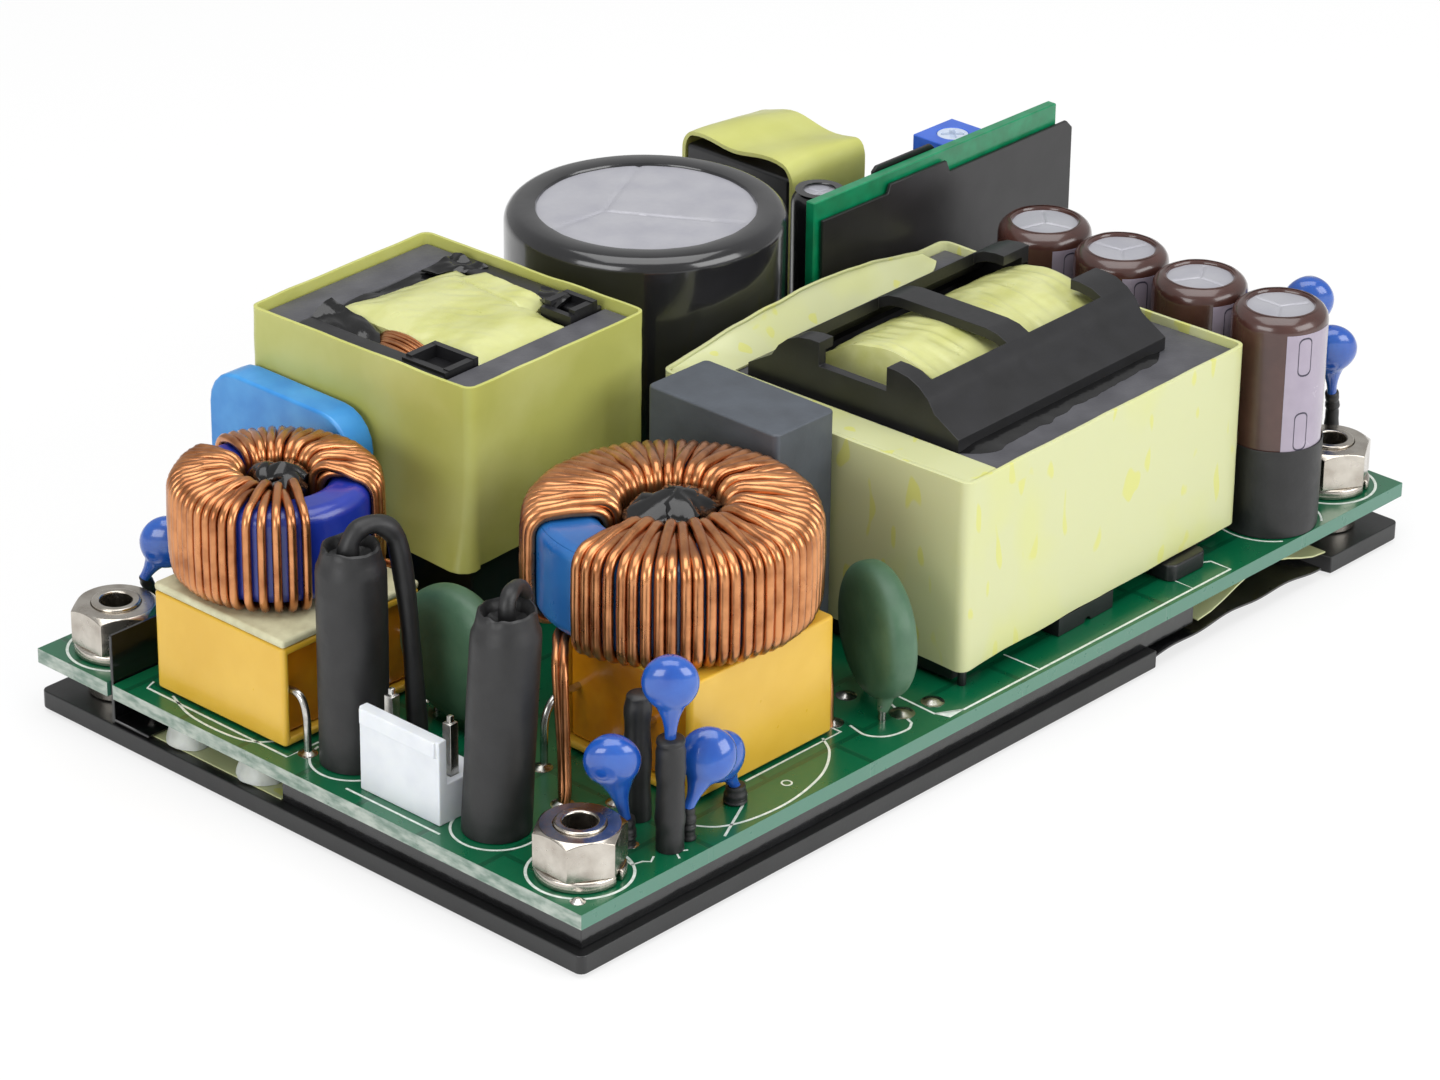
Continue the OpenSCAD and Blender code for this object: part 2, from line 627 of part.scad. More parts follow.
module fuse_sleeve(x, y, lean) {
    translate([x, y, deck + 0.1]) rotate(lean) rotate_extrude($fn = 48)
        polygon([[0, 0.1], [fuse_d / 2 - 0.5, 0.1], [fuse_d / 2 - 0.1, 1], [fuse_d / 2 - 0.1, 5],
            [fuse_d / 2, 7], [fuse_d / 2, fuse_h - 4], [fuse_d / 2 - 0.5, fuse_h - 2],
            [fuse_d / 2 - 0.7, fuse_h - 0.3], [fuse_d / 2 - 1, fuse_h], [fuse_d / 2 - 1.3, fuse_h - 0.2],
            [1.5, fuse_h - 1.2], [0, fuse_h - 1.2]]);
}
module fuse_sleeves() color([0.13, 0.13, 0.13]) {
    fuse_sleeve(fuse_x, far_fuse_y, [0, 0, 0]);
    fuse_sleeve(fuse_x, near_fuse_y, [2, 2, 0]);
}
module fuse_leads() color([0.1, 0.1, 0.1]) {
    top = deck + fuse_h;
    wire([[fuse_x, far_fuse_y, top - 1.1], [fuse_x, far_fuse_y, top + 0.2],
        [fuse_x + 1, far_fuse_y - 0.2, top + 1.4], [fuse_x + 2.8, far_fuse_y - 0.8, top + 1.6],
        [fuse_x + 4.2, far_fuse_y - 1.4, top + 0.4], [fuse_x + 4.8, far_fuse_y - 1.9, top - 2],
        [fuse_x + 5.2, far_fuse_y - 2.6, top - 10], [fuse_x + 5.4, far_fuse_y - 3.2, deck + 2],
        [fuse_x + 5.4, far_fuse_y - 3.2, deck + seat]], 2, 8);
    wire([[fuse_x + 0.8, near_fuse_y - 0.8, top - 0.9], [fuse_x + 0.85, near_fuse_y - 0.8, top + 0.6],
        [fuse_x + 1.6, near_fuse_y - 0.45, top + 1.35], [fuse_x + 3.2, near_fuse_y + 0.3, top + 1.25],
        [fuse_x + 4.9, near_fuse_y + 1, top - 0.2], [fuse_x + 5.1, near_fuse_y + 1.2, top - 3],
        [fuse_x + 4.6, near_fuse_y + 2.4, deck + 2], [fuse_x + 4.6, near_fuse_y + 2.4, deck + seat]], 1.6, 8);
}

// Friction-lock headers: a base with a tall wall on the board's edge side
module header(x, y, w, positions, turn) {
    translate([x, y, deck]) rotate([0, 0, turn]) difference() {
        union() {
            block(0, -w / 2, 0, header_depth, w, header_base_h);
            block(0, -w / 2, 0, header_wall_t, w, header_wall_h);
            block(-0.35, -w / 2 + 0.3, header_wall_h - 1.7, 0.8, w - 0.6, 1.7);
        }
        for (p = positions)
            translate([3, p * pin_pitch, -1]) translate([-pin_w / 2 - seat, -pin_w / 2 - seat, 0])
                cube([pin_w + 2 * seat, pin_w + 2 * seat, header_base_h + 2]);
    }
}
module header_pin_row(x, y, positions, turn) {
    translate([x, y, deck]) rotate([0, 0, turn])
        for (p = positions) translate([3 - pin_w / 2, p * pin_pitch - pin_w / 2, 0]) {
            cube([pin_w, pin_w, header_wall_h + 0.6]);
            translate([pin_w / 4, pin_w / 4, header_wall_h + 0.6]) cube([pin_w / 2, pin_w / 2, 0.7]);
        }
}
mains_pins = [-1, 1];
output_pins = [-2.5, -1.5, -0.5, 0.5, 1.5, 2.5];
output_header_w = 24;
output_header_x = output_end - 1.5;
output_header_y = near_edge + 34.1;
module header_housings() color("whitesmoke") {
    header(header_x, header_y, header_w, mains_pins, 0);
    header(output_header_x, output_header_y, output_header_w, output_pins, 180);
}
module header_pins() color("silver") {
    header_pin_row(header_x, header_y, mains_pins, 0);
    header_pin_row(output_header_x, output_header_y, output_pins, 180);
}

// Drop of epoxy round a small disc: a lens with a tapering neck
module drop(foot, face) {
    r = drop_d / 2;
    reach = norm(foot);
    rotate([0, 0, face]) rotate([0, 90, 0]) rotate_extrude($fn = 64)
        polygon(concat([for (k = [0:12]) let (a = -90 + 15 * k)
            [k == 0 || k == 12 ? 0 : r * pow(cos(a), 0.8), drop_t / 2 * sin(a)]]));
    rotate([0, acos(-foot[2] / reach), atan2(-foot[1], -foot[0])]) translate([0, 0, -reach])
        cylinder(h = reach - r * 0.55, r1 = 0.45, r2 = drop_t * 0.42, $fn = 32);
}
module y_capacitors() color("royalblue")
    for (p = drop_places)
        translate(p[0] + [0, 0, deck]) drop(p[1], p[2]);
module y_cap_sleeves() color([0.12, 0.12, 0.12]) {
    for (k = [0:len(drop_places) - 1]) {
        base = drop_places[k][0] + drop_places[k][1];
        if (len(search(k, bent_feet)) == 0)
            translate([base[0], base[1], deck + seat])
                cylinder(h = base[2] - seat - 0.3, d = sleeve_sizes[k], $fn = 32);
        else {
            side = k == 4 ? [1.4, 0.6, 0] : [0.9, 0.4, 0];
            top = base + [0, 0, deck - 0.45];
            wire([top, top + 0.7 * side - [0, 0, 1.1], top + side - [0, 0, 2.6],
                [top[0], top[1], deck + seat] + side], sleeve_sizes[k], 8);
        }
    }
    // sleeve that stands behind the near ones
    translate([mains_end + 16.9, near_edge + 9, deck + seat]) {
        cylinder(h = 11.5, d = 2.6, $fn = 32);
        translate([0, 0, 11.5]) cylinder(h = 1.8, r1 = 1.3, r2 = 0.6, $fn = 32);
    }
}

// Disc-shaped suppressor on two leads
module suppressor(x, y, turn) {
    translate([x, y, deck + disc_d / 2 + 1]) rotate([0, 0, turn]) {
        rotate([0, 90, 0]) translate([0, 0, -disc_t / 2]) rotate_extrude($fn = 64)
            polygon([[0, 0], [disc_d / 2 - 1.4, 0], [disc_d / 2 - 0.4, 0.5], [disc_d / 2, disc_t / 2],
                [disc_d / 2 - 0.4, disc_t - 0.5], [disc_d / 2 - 1.4, disc_t], [0, disc_t]]);
        for (s = [-1, 1])
            translate([s * 0.9, s * 3.6, -disc_d / 2 - 1])
                cylinder(h = 2.6, d = lead_d, $fn = 24);
    }
}
module thermistor() color("darkseagreen") suppressor(mains_end + 18, far_fuse_y - 2.1, 0);
module varistor() color("darkolivegreen") suppressor(mains_end + 50, near_edge + 8, 155);

// ---------------------------------------------------------------- input choke

module at_boost() { translate([boost_x, boost_y, 0]) rotate([0, 0, boost_turn]) children(); }
boost_in_l = boost_l - 2 * tape_t - 0.2;
boost_in_w = boost_w - 2 * tape_t - 0.2;
boost_window_w = boost_in_w - 2 * boost_leg;
boost_lip_h = 1.6;
boost_back = 3.4;
boost_post_w = 8;
boost_post_h = 7;
boost_window_l = boost_in_l - 2 * boost_back;
boost_mid_z = boost_core_z + boost_core_h / 2;
module boost_core() color("gray") at_boost() {
    difference() {
        block(-boost_in_l / 2, -boost_in_w / 2, boost_core_z, boost_in_l, boost_in_w, boost_core_h);
        block(-boost_window_l / 2, -boost_window_w / 2, boost_core_z - 1,
            boost_window_l, boost_window_w, boost_core_h + 2);
        for (s = [-1, 1])
            translate([s * (boost_in_l / 2 - boost_back / 2), 0, boost_core_z + boost_core_h - 0.75])
                cube([boost_back + 2, boost_window_w, boost_lip_h], center = true);
    }
    translate([-boost_window_l / 2, -boost_post_w / 2, boost_mid_z - boost_post_h / 2])
        cube([boost_window_l, boost_post_w, boost_post_h]);
}
module boost_bobbin() color([0.1, 0.1, 0.1]) at_boost() {
    h = boost_core_z - deck - 0.3;
    difference() {
        block(-boost_in_l / 2, -boost_in_w / 2, deck + 0.2, boost_in_l, boost_in_w, h);
        block(-boost_window_l / 2 + 1, -boost_window_w / 2 + 1, deck - 1,
            boost_window_l - 2, boost_window_w - 2, h + 3);
    }
    for (s = [-1, 1])
        translate([s * (boost_in_l / 2 - boost_back / 2 + 0.2), 0, boost_core_z + boost_core_h - 0.6])
            cube([boost_back - 0.5, boost_window_w - 0.4, boost_lip_h], center = true);
}
boost_coil_h = boost_core_h - 0.4;
module boost_coil() color([0.88, 0.9, 0.66]) at_boost() difference() {
    translate([-boost_window_l / 2 + seat, 0, boost_mid_z]) rotate([90, 0, 90])
        linear_extrude(boost_window_l - 2 * seat)
            polygon(soft_rect(-boost_window_w / 2 + 0.3, boost_window_w / 2 - 0.3,
                -boost_coil_h / 2, boost_coil_h / 2 + 0.9, 2.5));
    translate([-boost_window_l, -boost_post_w / 2 - seat, boost_mid_z - boost_post_h / 2 - seat])
        cube([2 * boost_window_l, boost_post_w + 2 * seat, boost_post_h + 2 * seat]);
}
module boost_tape() color([0.82, 0.85, 0.5]) at_boost()
    tape_loop(boost_l, boost_w, deck + boost_top - boost_band_h, boost_band_h, tape_t, 1.2);

// ---------------------------------------------------------------- tall capacitors

module bulk_can() color("silver") translate([bulk_x, bulk_y, deck]) can_body(bulk_d, bulk_h, bulk_top_d);
module bulk_sleeve() color([0.2, 0.2, 0.2]) translate([bulk_x, bulk_y, deck])
    can_sleeve(bulk_d, bulk_h, bulk_top_d, sleeve_t);
module grey_capacitor() color("slategray") difference() {
    soft_block(grey_cap_x, grey_cap_y, deck, grey_cap_l, grey_cap_w, grey_cap_h, 0.7);
    block(grey_cap_x + 1.4, grey_cap_y - 1, deck - 1, grey_cap_l - 2.8, grey_cap_w + 2, 1.5);
}
module film_capacitor() color("cornflowerblue") {
    translate([film_cap_x, film_cap_y, deck + 1]) rotate([0, 0, 90]) rotate([90, 0, 0])
        translate([0, 0, -film_cap_t / 2]) {
            linear_extrude(film_cap_t)
                polygon(soft_rect(-film_cap_w / 2, film_cap_w / 2, 0, film_cap_h - 1, 4, 5));
        }
    for (s = [-1, 1])
        translate([film_cap_x, film_cap_y + s * 7.5, deck]) cylinder(h = 1, d = lead_d, $fn = 24);
}

module at_out_caps() {
    for (k = [0:3]) translate([out_cap_x, last_cap_y + k * out_cap_pitch, deck]) children();
}
module output_cans() color("silver") at_out_caps() can_body(out_cap_d, out_cap_h, out_cap_top_d);
module output_sleeves() color([0.33, 0.2, 0.17]) at_out_caps()
    can_sleeve(out_cap_d, out_cap_h, out_cap_top_d, sleeve_t);
module output_boot() color([0.16, 0.16, 0.17]) translate([out_cap_x, last_cap_y, deck]) difference() {
    translate([0, 0, 0.05]) cylinder(h = boot_h, d = out_cap_d + 0.4, $fn = 64);
    translate([0, 0, -1]) cylinder(h = boot_h + 2, d = out_cap_d + 0.06, $fn = 64);
}
small_can_h = 29.8;
module small_can() color([0.15, 0.15, 0.15]) translate([small_can_x, small_can_y, deck])
    rotate_extrude($fn = 48)
        polygon([[0, 0.1], [small_can_d / 2, 0.1], [small_can_d / 2, small_can_h - 0.7],
            [small_can_d / 2 - 0.5, small_can_h], [small_can_d / 2 - 0.9, small_can_h],
            [small_can_d / 2 - 1, small_can_h - 0.2], [0, small_can_h - 0.2]]);

// ---------------------------------------------------------------- main transformer

module at_main() { translate([main_x, main_y, 0]) rotate([0, 0, main_turn]) children(); }

module main_core() color("gray") at_main() {
    difference() {
        translate([main_core_x - main_core_l / 2, -main_core_w / 2, main_core_z])
            cube([main_core_l, main_core_w, main_core_h]);
        translate([main_core_x - main_window_l / 2, -main_coil_r - 0.4, main_core_z - 1])
            cube([main_window_l, 2 * main_coil_r + 0.8, main_core_h + 2]);
    }
    translate([main_core_x - main_window_l / 2, 0, main_coil_z]) rotate([0, 90, 0])
        cylinder(h = main_window_l, r = main_leg_r, $fn = 48);
}
module main_coil() color([0.9, 0.92, 0.68]) at_main()
    translate([main_core_x - main_window_l / 2 + 0.6, 0, main_coil_z]) rotate([0, 90, 0]) difference() {
        cylinder(h = main_window_l - 1.2, r = main_coil_r, $fn = 96);
        translate([0, 0, -1]) cylinder(h = main_window_l + 2, r = main_leg_r + seat, $fn = 48);
    }

// Arched cover of the bobbin over the coil, as a profile across the board
bobbin_skirt_z = deck + main_top - 0.75;
bobbin_shoulder_r = 5.6;
bobbin_slope_w = 2.6;
// Shoulder at one side of the arch; side is -1 or 1
function shoulder(side, half, top, r) =
    arc(side * (half - bobbin_slope_w - bobbin_shoulder_r), top - bobbin_shoulder_r, r,
        side < 0 ? 155 : 90, side < 0 ? 90 : 25, 4);
function arch(half, top, skirt) = concat(
    [[-half, skirt], [-half, skirt + 1.4]],
    shoulder(-1, half, top, bobbin_shoulder_r), shoulder(1, half, top, bobbin_shoulder_r),
    [[half, skirt + 1.4], [half, skirt]]);
module main_bobbin() color([0.12, 0.12, 0.13]) at_main() {
    top = deck + bobbin_top;
    half = bobbin_w / 2;
    x0 = bobbin_x - bobbin_l / 2;
    window_y = half - 5.4;
    end_window = 12;
    difference() {
        translate([x0, 0, 0]) rotate([90, 0, 90]) linear_extrude(bobbin_l)
            polygon(arch(half, top, bobbin_skirt_z));
        // room for the coil inside
        translate([x0 + bobbin_t, 0, 0]) rotate([90, 0, 90]) linear_extrude(bobbin_l - 2 * bobbin_t)
            polygon(concat([[-half + bobbin_t, bobbin_skirt_z - 1], [-half + bobbin_t, bobbin_skirt_z + 1]],
                shoulder(-1, half, top, bobbin_shoulder_r - bobbin_t),
                shoulder(1, half, top, bobbin_shoulder_r - bobbin_t),
                [[half - bobbin_t, bobbin_skirt_z + 1], [half - bobbin_t, bobbin_skirt_z - 1]]));
        translate([main_core_x - main_window_l / 2, 0, main_coil_z]) rotate([0, 90, 0])
            cylinder(h = main_window_l, r = main_coil_r + 0.25, $fn = 96);
        // two windows that show the coil, with a bar between them
        block(x0 + 2.2, -window_y, bobbin_skirt_z + 2.8, end_window, 2 * window_y, 10);
        block(x0 + 2.2 + end_window + 3.6, -window_y, bobbin_skirt_z + 2.8, end_window, 2 * window_y, 10);
        // the ends are low between their lugs
        block(x0 - 1, -half + lug_w + 1.4, top - 2.6, 5, bobbin_w - 2 * lug_w - 2.8, 10);
        block(x0 + bobbin_l - 4.6, -half + lug_w + 1.4, top - 2.6, 6, bobbin_w - 2 * lug_w - 2.8, 10);
    }
}
module main_tape() color([0.9, 0.92, 0.7]) at_main() {
    tape_loop(main_l, main_w, deck + main_top - main_band_h, main_band_h, tape_t, 1.2);
    // the far side stands up and bows inwards over the core
    translate([-main_l / 2 + 1.4, main_w / 2, deck + main_top]) rotate([90, 0, 0]) linear_extrude(tape_t)
        polygon(concat([[0, -0.01]], [for (k = [1:9]) [40 * k / 10, 3.1 * sin(18 * k)]], [[40, -0.01]]));
}
module main_pad() color([0.88, 0.9, 0.8]) at_main()
    block(-main_l / 2 + tape_t + seat, -main_w / 2 + tape_t + seat, deck + main_top - 6,
        main_pad_w - 2 * seat, main_w - 2 * tape_t - 2 * seat, 5.9);
rail_h = 1.7;
module main_pins() color([0.3, 0.3, 0.31]) at_main() {
    // pin rails under both ends, and the foot at the near edge
    for (x = [-main_l / 2 + 0.8, main_l / 2 - 5.4])
        block(x, -main_w / 2 + 2, deck + 0.3, 4.6, main_w - 4, rail_h);
    difference() {
        block(-7.2, -main_w / 2 + 0.1, deck + seat, 9, 3.6, rail_h + 0.3);
        translate([-2.4, -main_w / 2 - 1, deck]) rotate([-90, 0, 0]) cylinder(h = 6, d = 1.1, $fn = 24);
    }
    for (k = [0:5])
        translate([-main_l / 2 + 1.2, -main_w / 2 + 1 + k * 7, deck]) cylinder(h = 2.1, d = 0.9, $fn = 24);
}

// ---------------------------------------------------------------- auxiliary transformer

aux_tape_t = 0.5;
aux_foot_h = 5;
module aux_core() color([0.13, 0.13, 0.13]) {
    side = aux_tape_t + seat;
    block(aux_x + seat, aux_y + side, deck + aux_foot_h + side, aux_l - 2 * seat, aux_w - 2 * side,
        aux_top - aux_foot_h - side - 1);
    block(aux_x + 0.6, aux_y + 1.6, deck, aux_l - 1.2, aux_w - 3.2, aux_foot_h);
}
module aux_tape() color([0.82, 0.86, 0.5])
    translate([aux_x, aux_y + aux_w / 2, deck + aux_foot_h]) rotate([90, 0, 90])
    linear_extrude(aux_l) difference() {
        h = aux_top - aux_foot_h;
        polygon(soft_rect(-aux_w / 2, aux_w / 2, 0, h, 1));
        polygon(soft_rect(-aux_w / 2 + aux_tape_t, aux_w / 2 - aux_tape_t, aux_tape_t, h - 0.9, 0.05));
    }

// ---------------------------------------------------------------- control board

module control_board() color("seagreen")
    block(control_x, control_y, deck + 0.05, control_l, control_t, control_top);
module control_shields() color([0.18, 0.17, 0.18]) {
    front = control_y - 0.2;
    translate([0, front, deck]) rotate([90, 0, 0]) linear_extrude(shield_t)
        polygon([[control_x + 0.8, 0.3], [control_x + control_l + 2.2, 0.3],
            [control_x + control_l + 2.2, control_top - 3.2],
            [control_x + control_l + 1.2, control_top - 2.2],
            [control_x + 21.4, control_top - 2.4], [control_x + 20.8, control_top - 1],
            [control_x + 11.6, control_top - 1], [control_x + 11.2, control_top - 2],
            [control_x + 0.8, control_top - 2]]);
    translate([0, control_y + control_t + 0.2 + shield_t, deck]) rotate([90, 0, 0]) linear_extrude(shield_t)
        polygon([[control_x + 11, control_top - 12], [control_x + 21, control_top - 12],
            [control_x + 21, control_top], [control_x + 20.4, control_top + 0.5],
            [control_x + 11.6, control_top + 0.5], [control_x + 11, control_top]]);
}
trimmer_y = control_y + control_t + seat;
trimmer_top = trimmer_z + trimmer_h;
module trimmer_body() color("royalblue") difference() {
    block(trimmer_x, trimmer_y, trimmer_z, trimmer_l, trimmer_w, trimmer_h);
    translate([trimmer_x + trimmer_l / 2, trimmer_y + trimmer_w / 2, trimmer_top - rotor_depth])
        cylinder(h = rotor_depth + 1, d = rotor_d + 2 * rotor_clear, $fn = 48);
}
module trimmer_rotor() color("white") translate([trimmer_x + trimmer_l / 2, trimmer_y + trimmer_w / 2,
        trimmer_top - rotor_depth + rotor_clear]) difference() {
    cylinder(h = rotor_depth - 2 * rotor_clear, d = rotor_d, $fn = 48);
    for (a = [45, 135]) rotate([0, 0, a])
        translate([-rotor_d * 0.38, -0.35, rotor_depth - 0.7]) cube([rotor_d * 0.76, 0.7, 2]);
}

// ---------------------------------------------------------------- nodes

base_plate();
standoff_studs();
spring_washers();
corner_nuts();
insulating_film();
insulating_tape();
edge_barrier();
sealant_beads();
main_board();
thermal_pads();
power_devices();
small_cap_case();
small_cap_epoxy();
small_cap_leads();
small_choke_pad();
small_choke_core();
small_choke_winding_a();
small_choke_winding_b();
small_choke_divider();
large_cap_case();
large_cap_epoxy();
large_cap_leads();
large_choke_core();
large_choke_winding_a();
large_choke_winding_b();
large_choke_divider();
choke_leads();
fuse_sleeves();
fuse_leads();
header_housings();
header_pins();
y_capacitors();
y_cap_sleeves();
thermistor();
varistor();
film_capacitor();
boost_core();
boost_bobbin();
boost_coil();
boost_tape();
bulk_can();
bulk_sleeve();
grey_capacitor();
main_core();
main_bobbin();
main_coil();
main_tape();
main_pad();
main_pins();
aux_core();
aux_tape();
small_can();
control_board();
control_shields();
trimmer_body();
trimmer_rotor();
output_cans();
output_sleeves();
output_boot();
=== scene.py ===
"""Looks of an open frame power supply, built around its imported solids."""
import json
import math

import bmesh
import bpy
from mathutils import Matrix, Vector, noise

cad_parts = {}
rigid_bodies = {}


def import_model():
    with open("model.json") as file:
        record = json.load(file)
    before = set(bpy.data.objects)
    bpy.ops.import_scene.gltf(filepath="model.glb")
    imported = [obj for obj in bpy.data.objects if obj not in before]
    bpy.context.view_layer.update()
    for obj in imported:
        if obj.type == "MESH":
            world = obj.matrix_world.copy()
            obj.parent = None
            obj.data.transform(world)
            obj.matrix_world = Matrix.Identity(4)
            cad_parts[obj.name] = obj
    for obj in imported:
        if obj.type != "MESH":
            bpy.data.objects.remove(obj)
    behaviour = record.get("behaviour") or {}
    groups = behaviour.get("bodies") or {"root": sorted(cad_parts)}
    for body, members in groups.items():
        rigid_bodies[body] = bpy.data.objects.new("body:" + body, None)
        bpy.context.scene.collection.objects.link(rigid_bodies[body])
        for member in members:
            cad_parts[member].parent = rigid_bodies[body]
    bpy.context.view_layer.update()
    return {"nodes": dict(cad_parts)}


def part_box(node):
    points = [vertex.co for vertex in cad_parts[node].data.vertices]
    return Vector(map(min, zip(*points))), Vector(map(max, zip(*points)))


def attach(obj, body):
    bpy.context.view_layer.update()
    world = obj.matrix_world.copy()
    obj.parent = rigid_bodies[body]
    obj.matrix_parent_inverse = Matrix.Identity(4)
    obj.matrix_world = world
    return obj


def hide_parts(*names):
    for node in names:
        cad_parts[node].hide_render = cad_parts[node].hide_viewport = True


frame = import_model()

MM = 0.001
scene = bpy.context.scene


# ---------------------------------------------------------------- places

def box_mm(node):
    """Lowest and highest corner of a node, in millimetres."""
    low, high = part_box(node)
    return Vector(low) / MM, Vector(high) / MM


board_low, board_high = box_mm("main_board")
DECK = board_high.z
NEAR = board_low.y
FAR = board_high.y
MAINS_END = board_low.x
OUTPUT_END = board_high.x


# ---------------------------------------------------------------- finishes

def paint(red, green, blue):
    """A display colour, 0 to 255, as the shader's linear colour."""
    def linear(c):
        c = c / 255
        return c / 12.92 if c <= 0.04045 else ((c + 0.055) / 1.055) ** 2.4
    return (linear(red), linear(green), linear(blue), 1.0)


class Finish:
    """A procedural material, built up from named layers on Object coordinates."""

    def __init__(self, name, base, rough, metal=0.0, coat=0.0, coat_rough=0.1, ior=1.5, soft=0.0):
        self.material = bpy.data.materials.new(name)
        self.material.use_nodes = True
        self.tree = self.material.node_tree
        self.shader = self.tree.nodes["Principled BSDF"]
        self.shader.inputs["Base Color"].default_value = base
        self.shader.inputs["Roughness"].default_value = rough
        self.shader.inputs["Metallic"].default_value = metal
        self.shader.inputs["Coat Weight"].default_value = coat
        self.shader.inputs["Coat Roughness"].default_value = coat_rough
        self.shader.inputs["IOR"].default_value = ior
        if soft:
            self.shader.inputs["Subsurface Weight"].default_value = soft
            self.shader.inputs["Subsurface Radius"].default_value = (1.0, 0.8, 0.4)
            self.shader.inputs["Subsurface Scale"].default_value = 0.0012
        self.base = base
        self.rough = rough
        self.place = self.node("ShaderNodeTexCoord").outputs["Object"]
        self.bump_from = None

    def node(self, kind, **settings):
        made = self.tree.nodes.new(kind)
        for key, value in settings.items():
            setattr(made, key, value)
        return made

    def link(self, a, b):
        self.tree.links.new(a, b)

    def clouds(self, scale, detail=4.0, stretch=None):
        """Soft noise, with features of 1/scale metres, stretched if asked."""
        made = self.node("ShaderNodeTexNoise")
        made.inputs["Scale"].default_value = scale
        made.inputs["Detail"].default_value = detail
        if stretch:
            mapping = self.node("ShaderNodeMapping")
            mapping.inputs["Scale"].default_value = stretch
            self.link(self.place, mapping.inputs["Vector"])
            self.link(mapping.outputs["Vector"], made.inputs["Vector"])
        else:
            self.link(self.place, made.inputs["Vector"])
        return made.outputs["Fac"]

    def ramp(self, fac, low, high):
        """0 below low, 1 above high."""
        made = self.node("ShaderNodeMapRange")
        made.inputs["From Min"].default_value = low
        made.inputs["From Max"].default_value = high
        self.link(fac, made.inputs["Value"])
        return made.outputs["Result"]

    def colours(self, fac, first, second):
        """Base colour from first to second as fac rises."""
        made = self.node("ShaderNodeMix", data_type="RGBA")
        self.link(fac, made.inputs[0])
        for socket, value in ((made.inputs[6], first), (made.inputs[7], second)):
            if isinstance(value, tuple):
                socket.default_value = value
            else:
                self.link(value, socket)
        self.link(made.outputs[2], self.shader.inputs["Base Color"])
        return made.outputs[2]

    def mottle(self, other, scale=350, low=0.35, high=0.7, detail=4.0, stretch=None):
        """The base colour drifts towards another one."""
        self.colours(self.ramp(self.clouds(scale, detail, stretch), low, high), self.base, other)
        return self

    def gloss(self, spread, scale=500, stretch=None):
        """Roughness wanders by spread each way."""
        made = self.node("ShaderNodeMapRange")
        made.inputs["To Min"].default_value = max(self.rough - spread, 0.02)
        made.inputs["To Max"].default_value = min(self.rough + spread, 1.0)
        self.link(self.clouds(scale, 3.0, stretch), made.inputs["Value"])
        self.link(made.outputs["Result"], self.shader.inputs["Roughness"])
        return self

    def grain(self, scale, depth_mm, strength=0.5, stretch=None, detail=3.0):
        """Fine relief of a given depth."""
        return self.relief(self.clouds(scale, detail, stretch), depth_mm, strength)

    def relief(self, height, depth_mm, strength=0.5):
        made = self.node("ShaderNodeBump")
        made.inputs["Strength"].default_value = strength
        made.inputs["Distance"].default_value = depth_mm * MM
        self.link(height, made.inputs["Height"])
        if self.bump_from is not None:
            self.link(self.bump_from, made.inputs["Normal"])
        self.bump_from = made.outputs["Normal"]
        self.link(self.bump_from, self.shader.inputs["Normal"])
        self.link(self.bump_from, self.shader.inputs["Coat Normal"])
        return self


def by_side(finish, first, second, third):
    """Mixes three colours by which way a face looks: up, along Y, along X."""
    geometry = finish.node("ShaderNodeNewGeometry")
    split = finish.node("ShaderNodeSeparateXYZ")
    finish.link(geometry.outputs["True Normal"], split.inputs["Vector"])

    def facing(axis):
        size = finish.node("ShaderNodeMath", operation="ABSOLUTE")
        finish.link(split.outputs[axis], size.inputs[0])
        return finish.ramp(size.outputs[0], 0.4, 0.6)

    upper = finish.colours(facing("Y"), first, second)
    return finish.colours(facing("X"), upper, third)


plate_black = Finish("plate_black", paint(15, 15, 16), 0.42, coat=0.25, coat_rough=0.3)
plate_black.mottle(paint(22, 22, 23), 160).gloss(0.12, 260).grain(2500, 0.02, 0.35)

film_black = Finish("film_black", paint(12, 12, 13), 0.2, coat=0.5, coat_rough=0.08)
film_black.mottle(paint(24, 24, 26), 220, 0.45, 0.75).gloss(0.1, 300).grain(260, 0.25, 0.3)

bright_nickel = Finish("bright_nickel", paint(206, 200, 190), 0.24, metal=1.0)
bright_nickel.mottle(paint(176, 168, 158), 420).gloss(0.12, 900).grain(1800, 0.02, 0.3)

tinned = Finish("tinned", paint(205, 204, 200), 0.22, metal=1.0)
tinned.mottle(paint(150, 148, 142), 700).gloss(0.1, 900).grain(2200, 0.02, 0.3)

copper = Finish("enamelled_copper", paint(206, 140, 90), 0.3, metal=0.95, coat=0.4, coat_rough=0.14)
copper.mottle(paint(158, 96, 54), 420, 0.4, 0.72).gloss(0.1, 700).grain(1500, 0.03, 0.25)

board_green = Finish("solder_mask", paint(0, 84, 52), 0.3, coat=0.55, coat_rough=0.16)
tracks = board_green.node("ShaderNodeTexBrick", offset=0.37, squash=0.6)
tracks.inputs["Scale"].default_value = 1.0
tracks.inputs["Brick Width"].default_value = 0.023
tracks.inputs["Row Height"].default_value = 0.0083
tracks.inputs["Mortar Size"].default_value = 0.00035
tracks.inputs["Mortar Smooth"].default_value = 0.2
tracks.inputs["Color1"].default_value = (1, 1, 1, 1)
tracks.inputs["Color2"].default_value = (0.86, 0.86, 0.86, 1)
tracks.inputs["Mortar"].default_value = (0, 0, 0, 1)
board_green.link(board_green.place, tracks.inputs["Vector"])
mask_top = board_green.colours(board_green.ramp(tracks.outputs["Color"], 0.0, 1.0),
                               paint(0, 74, 46), paint(2, 92, 58))
edge_fibre = board_green.node("ShaderNodeMix", data_type="RGBA")
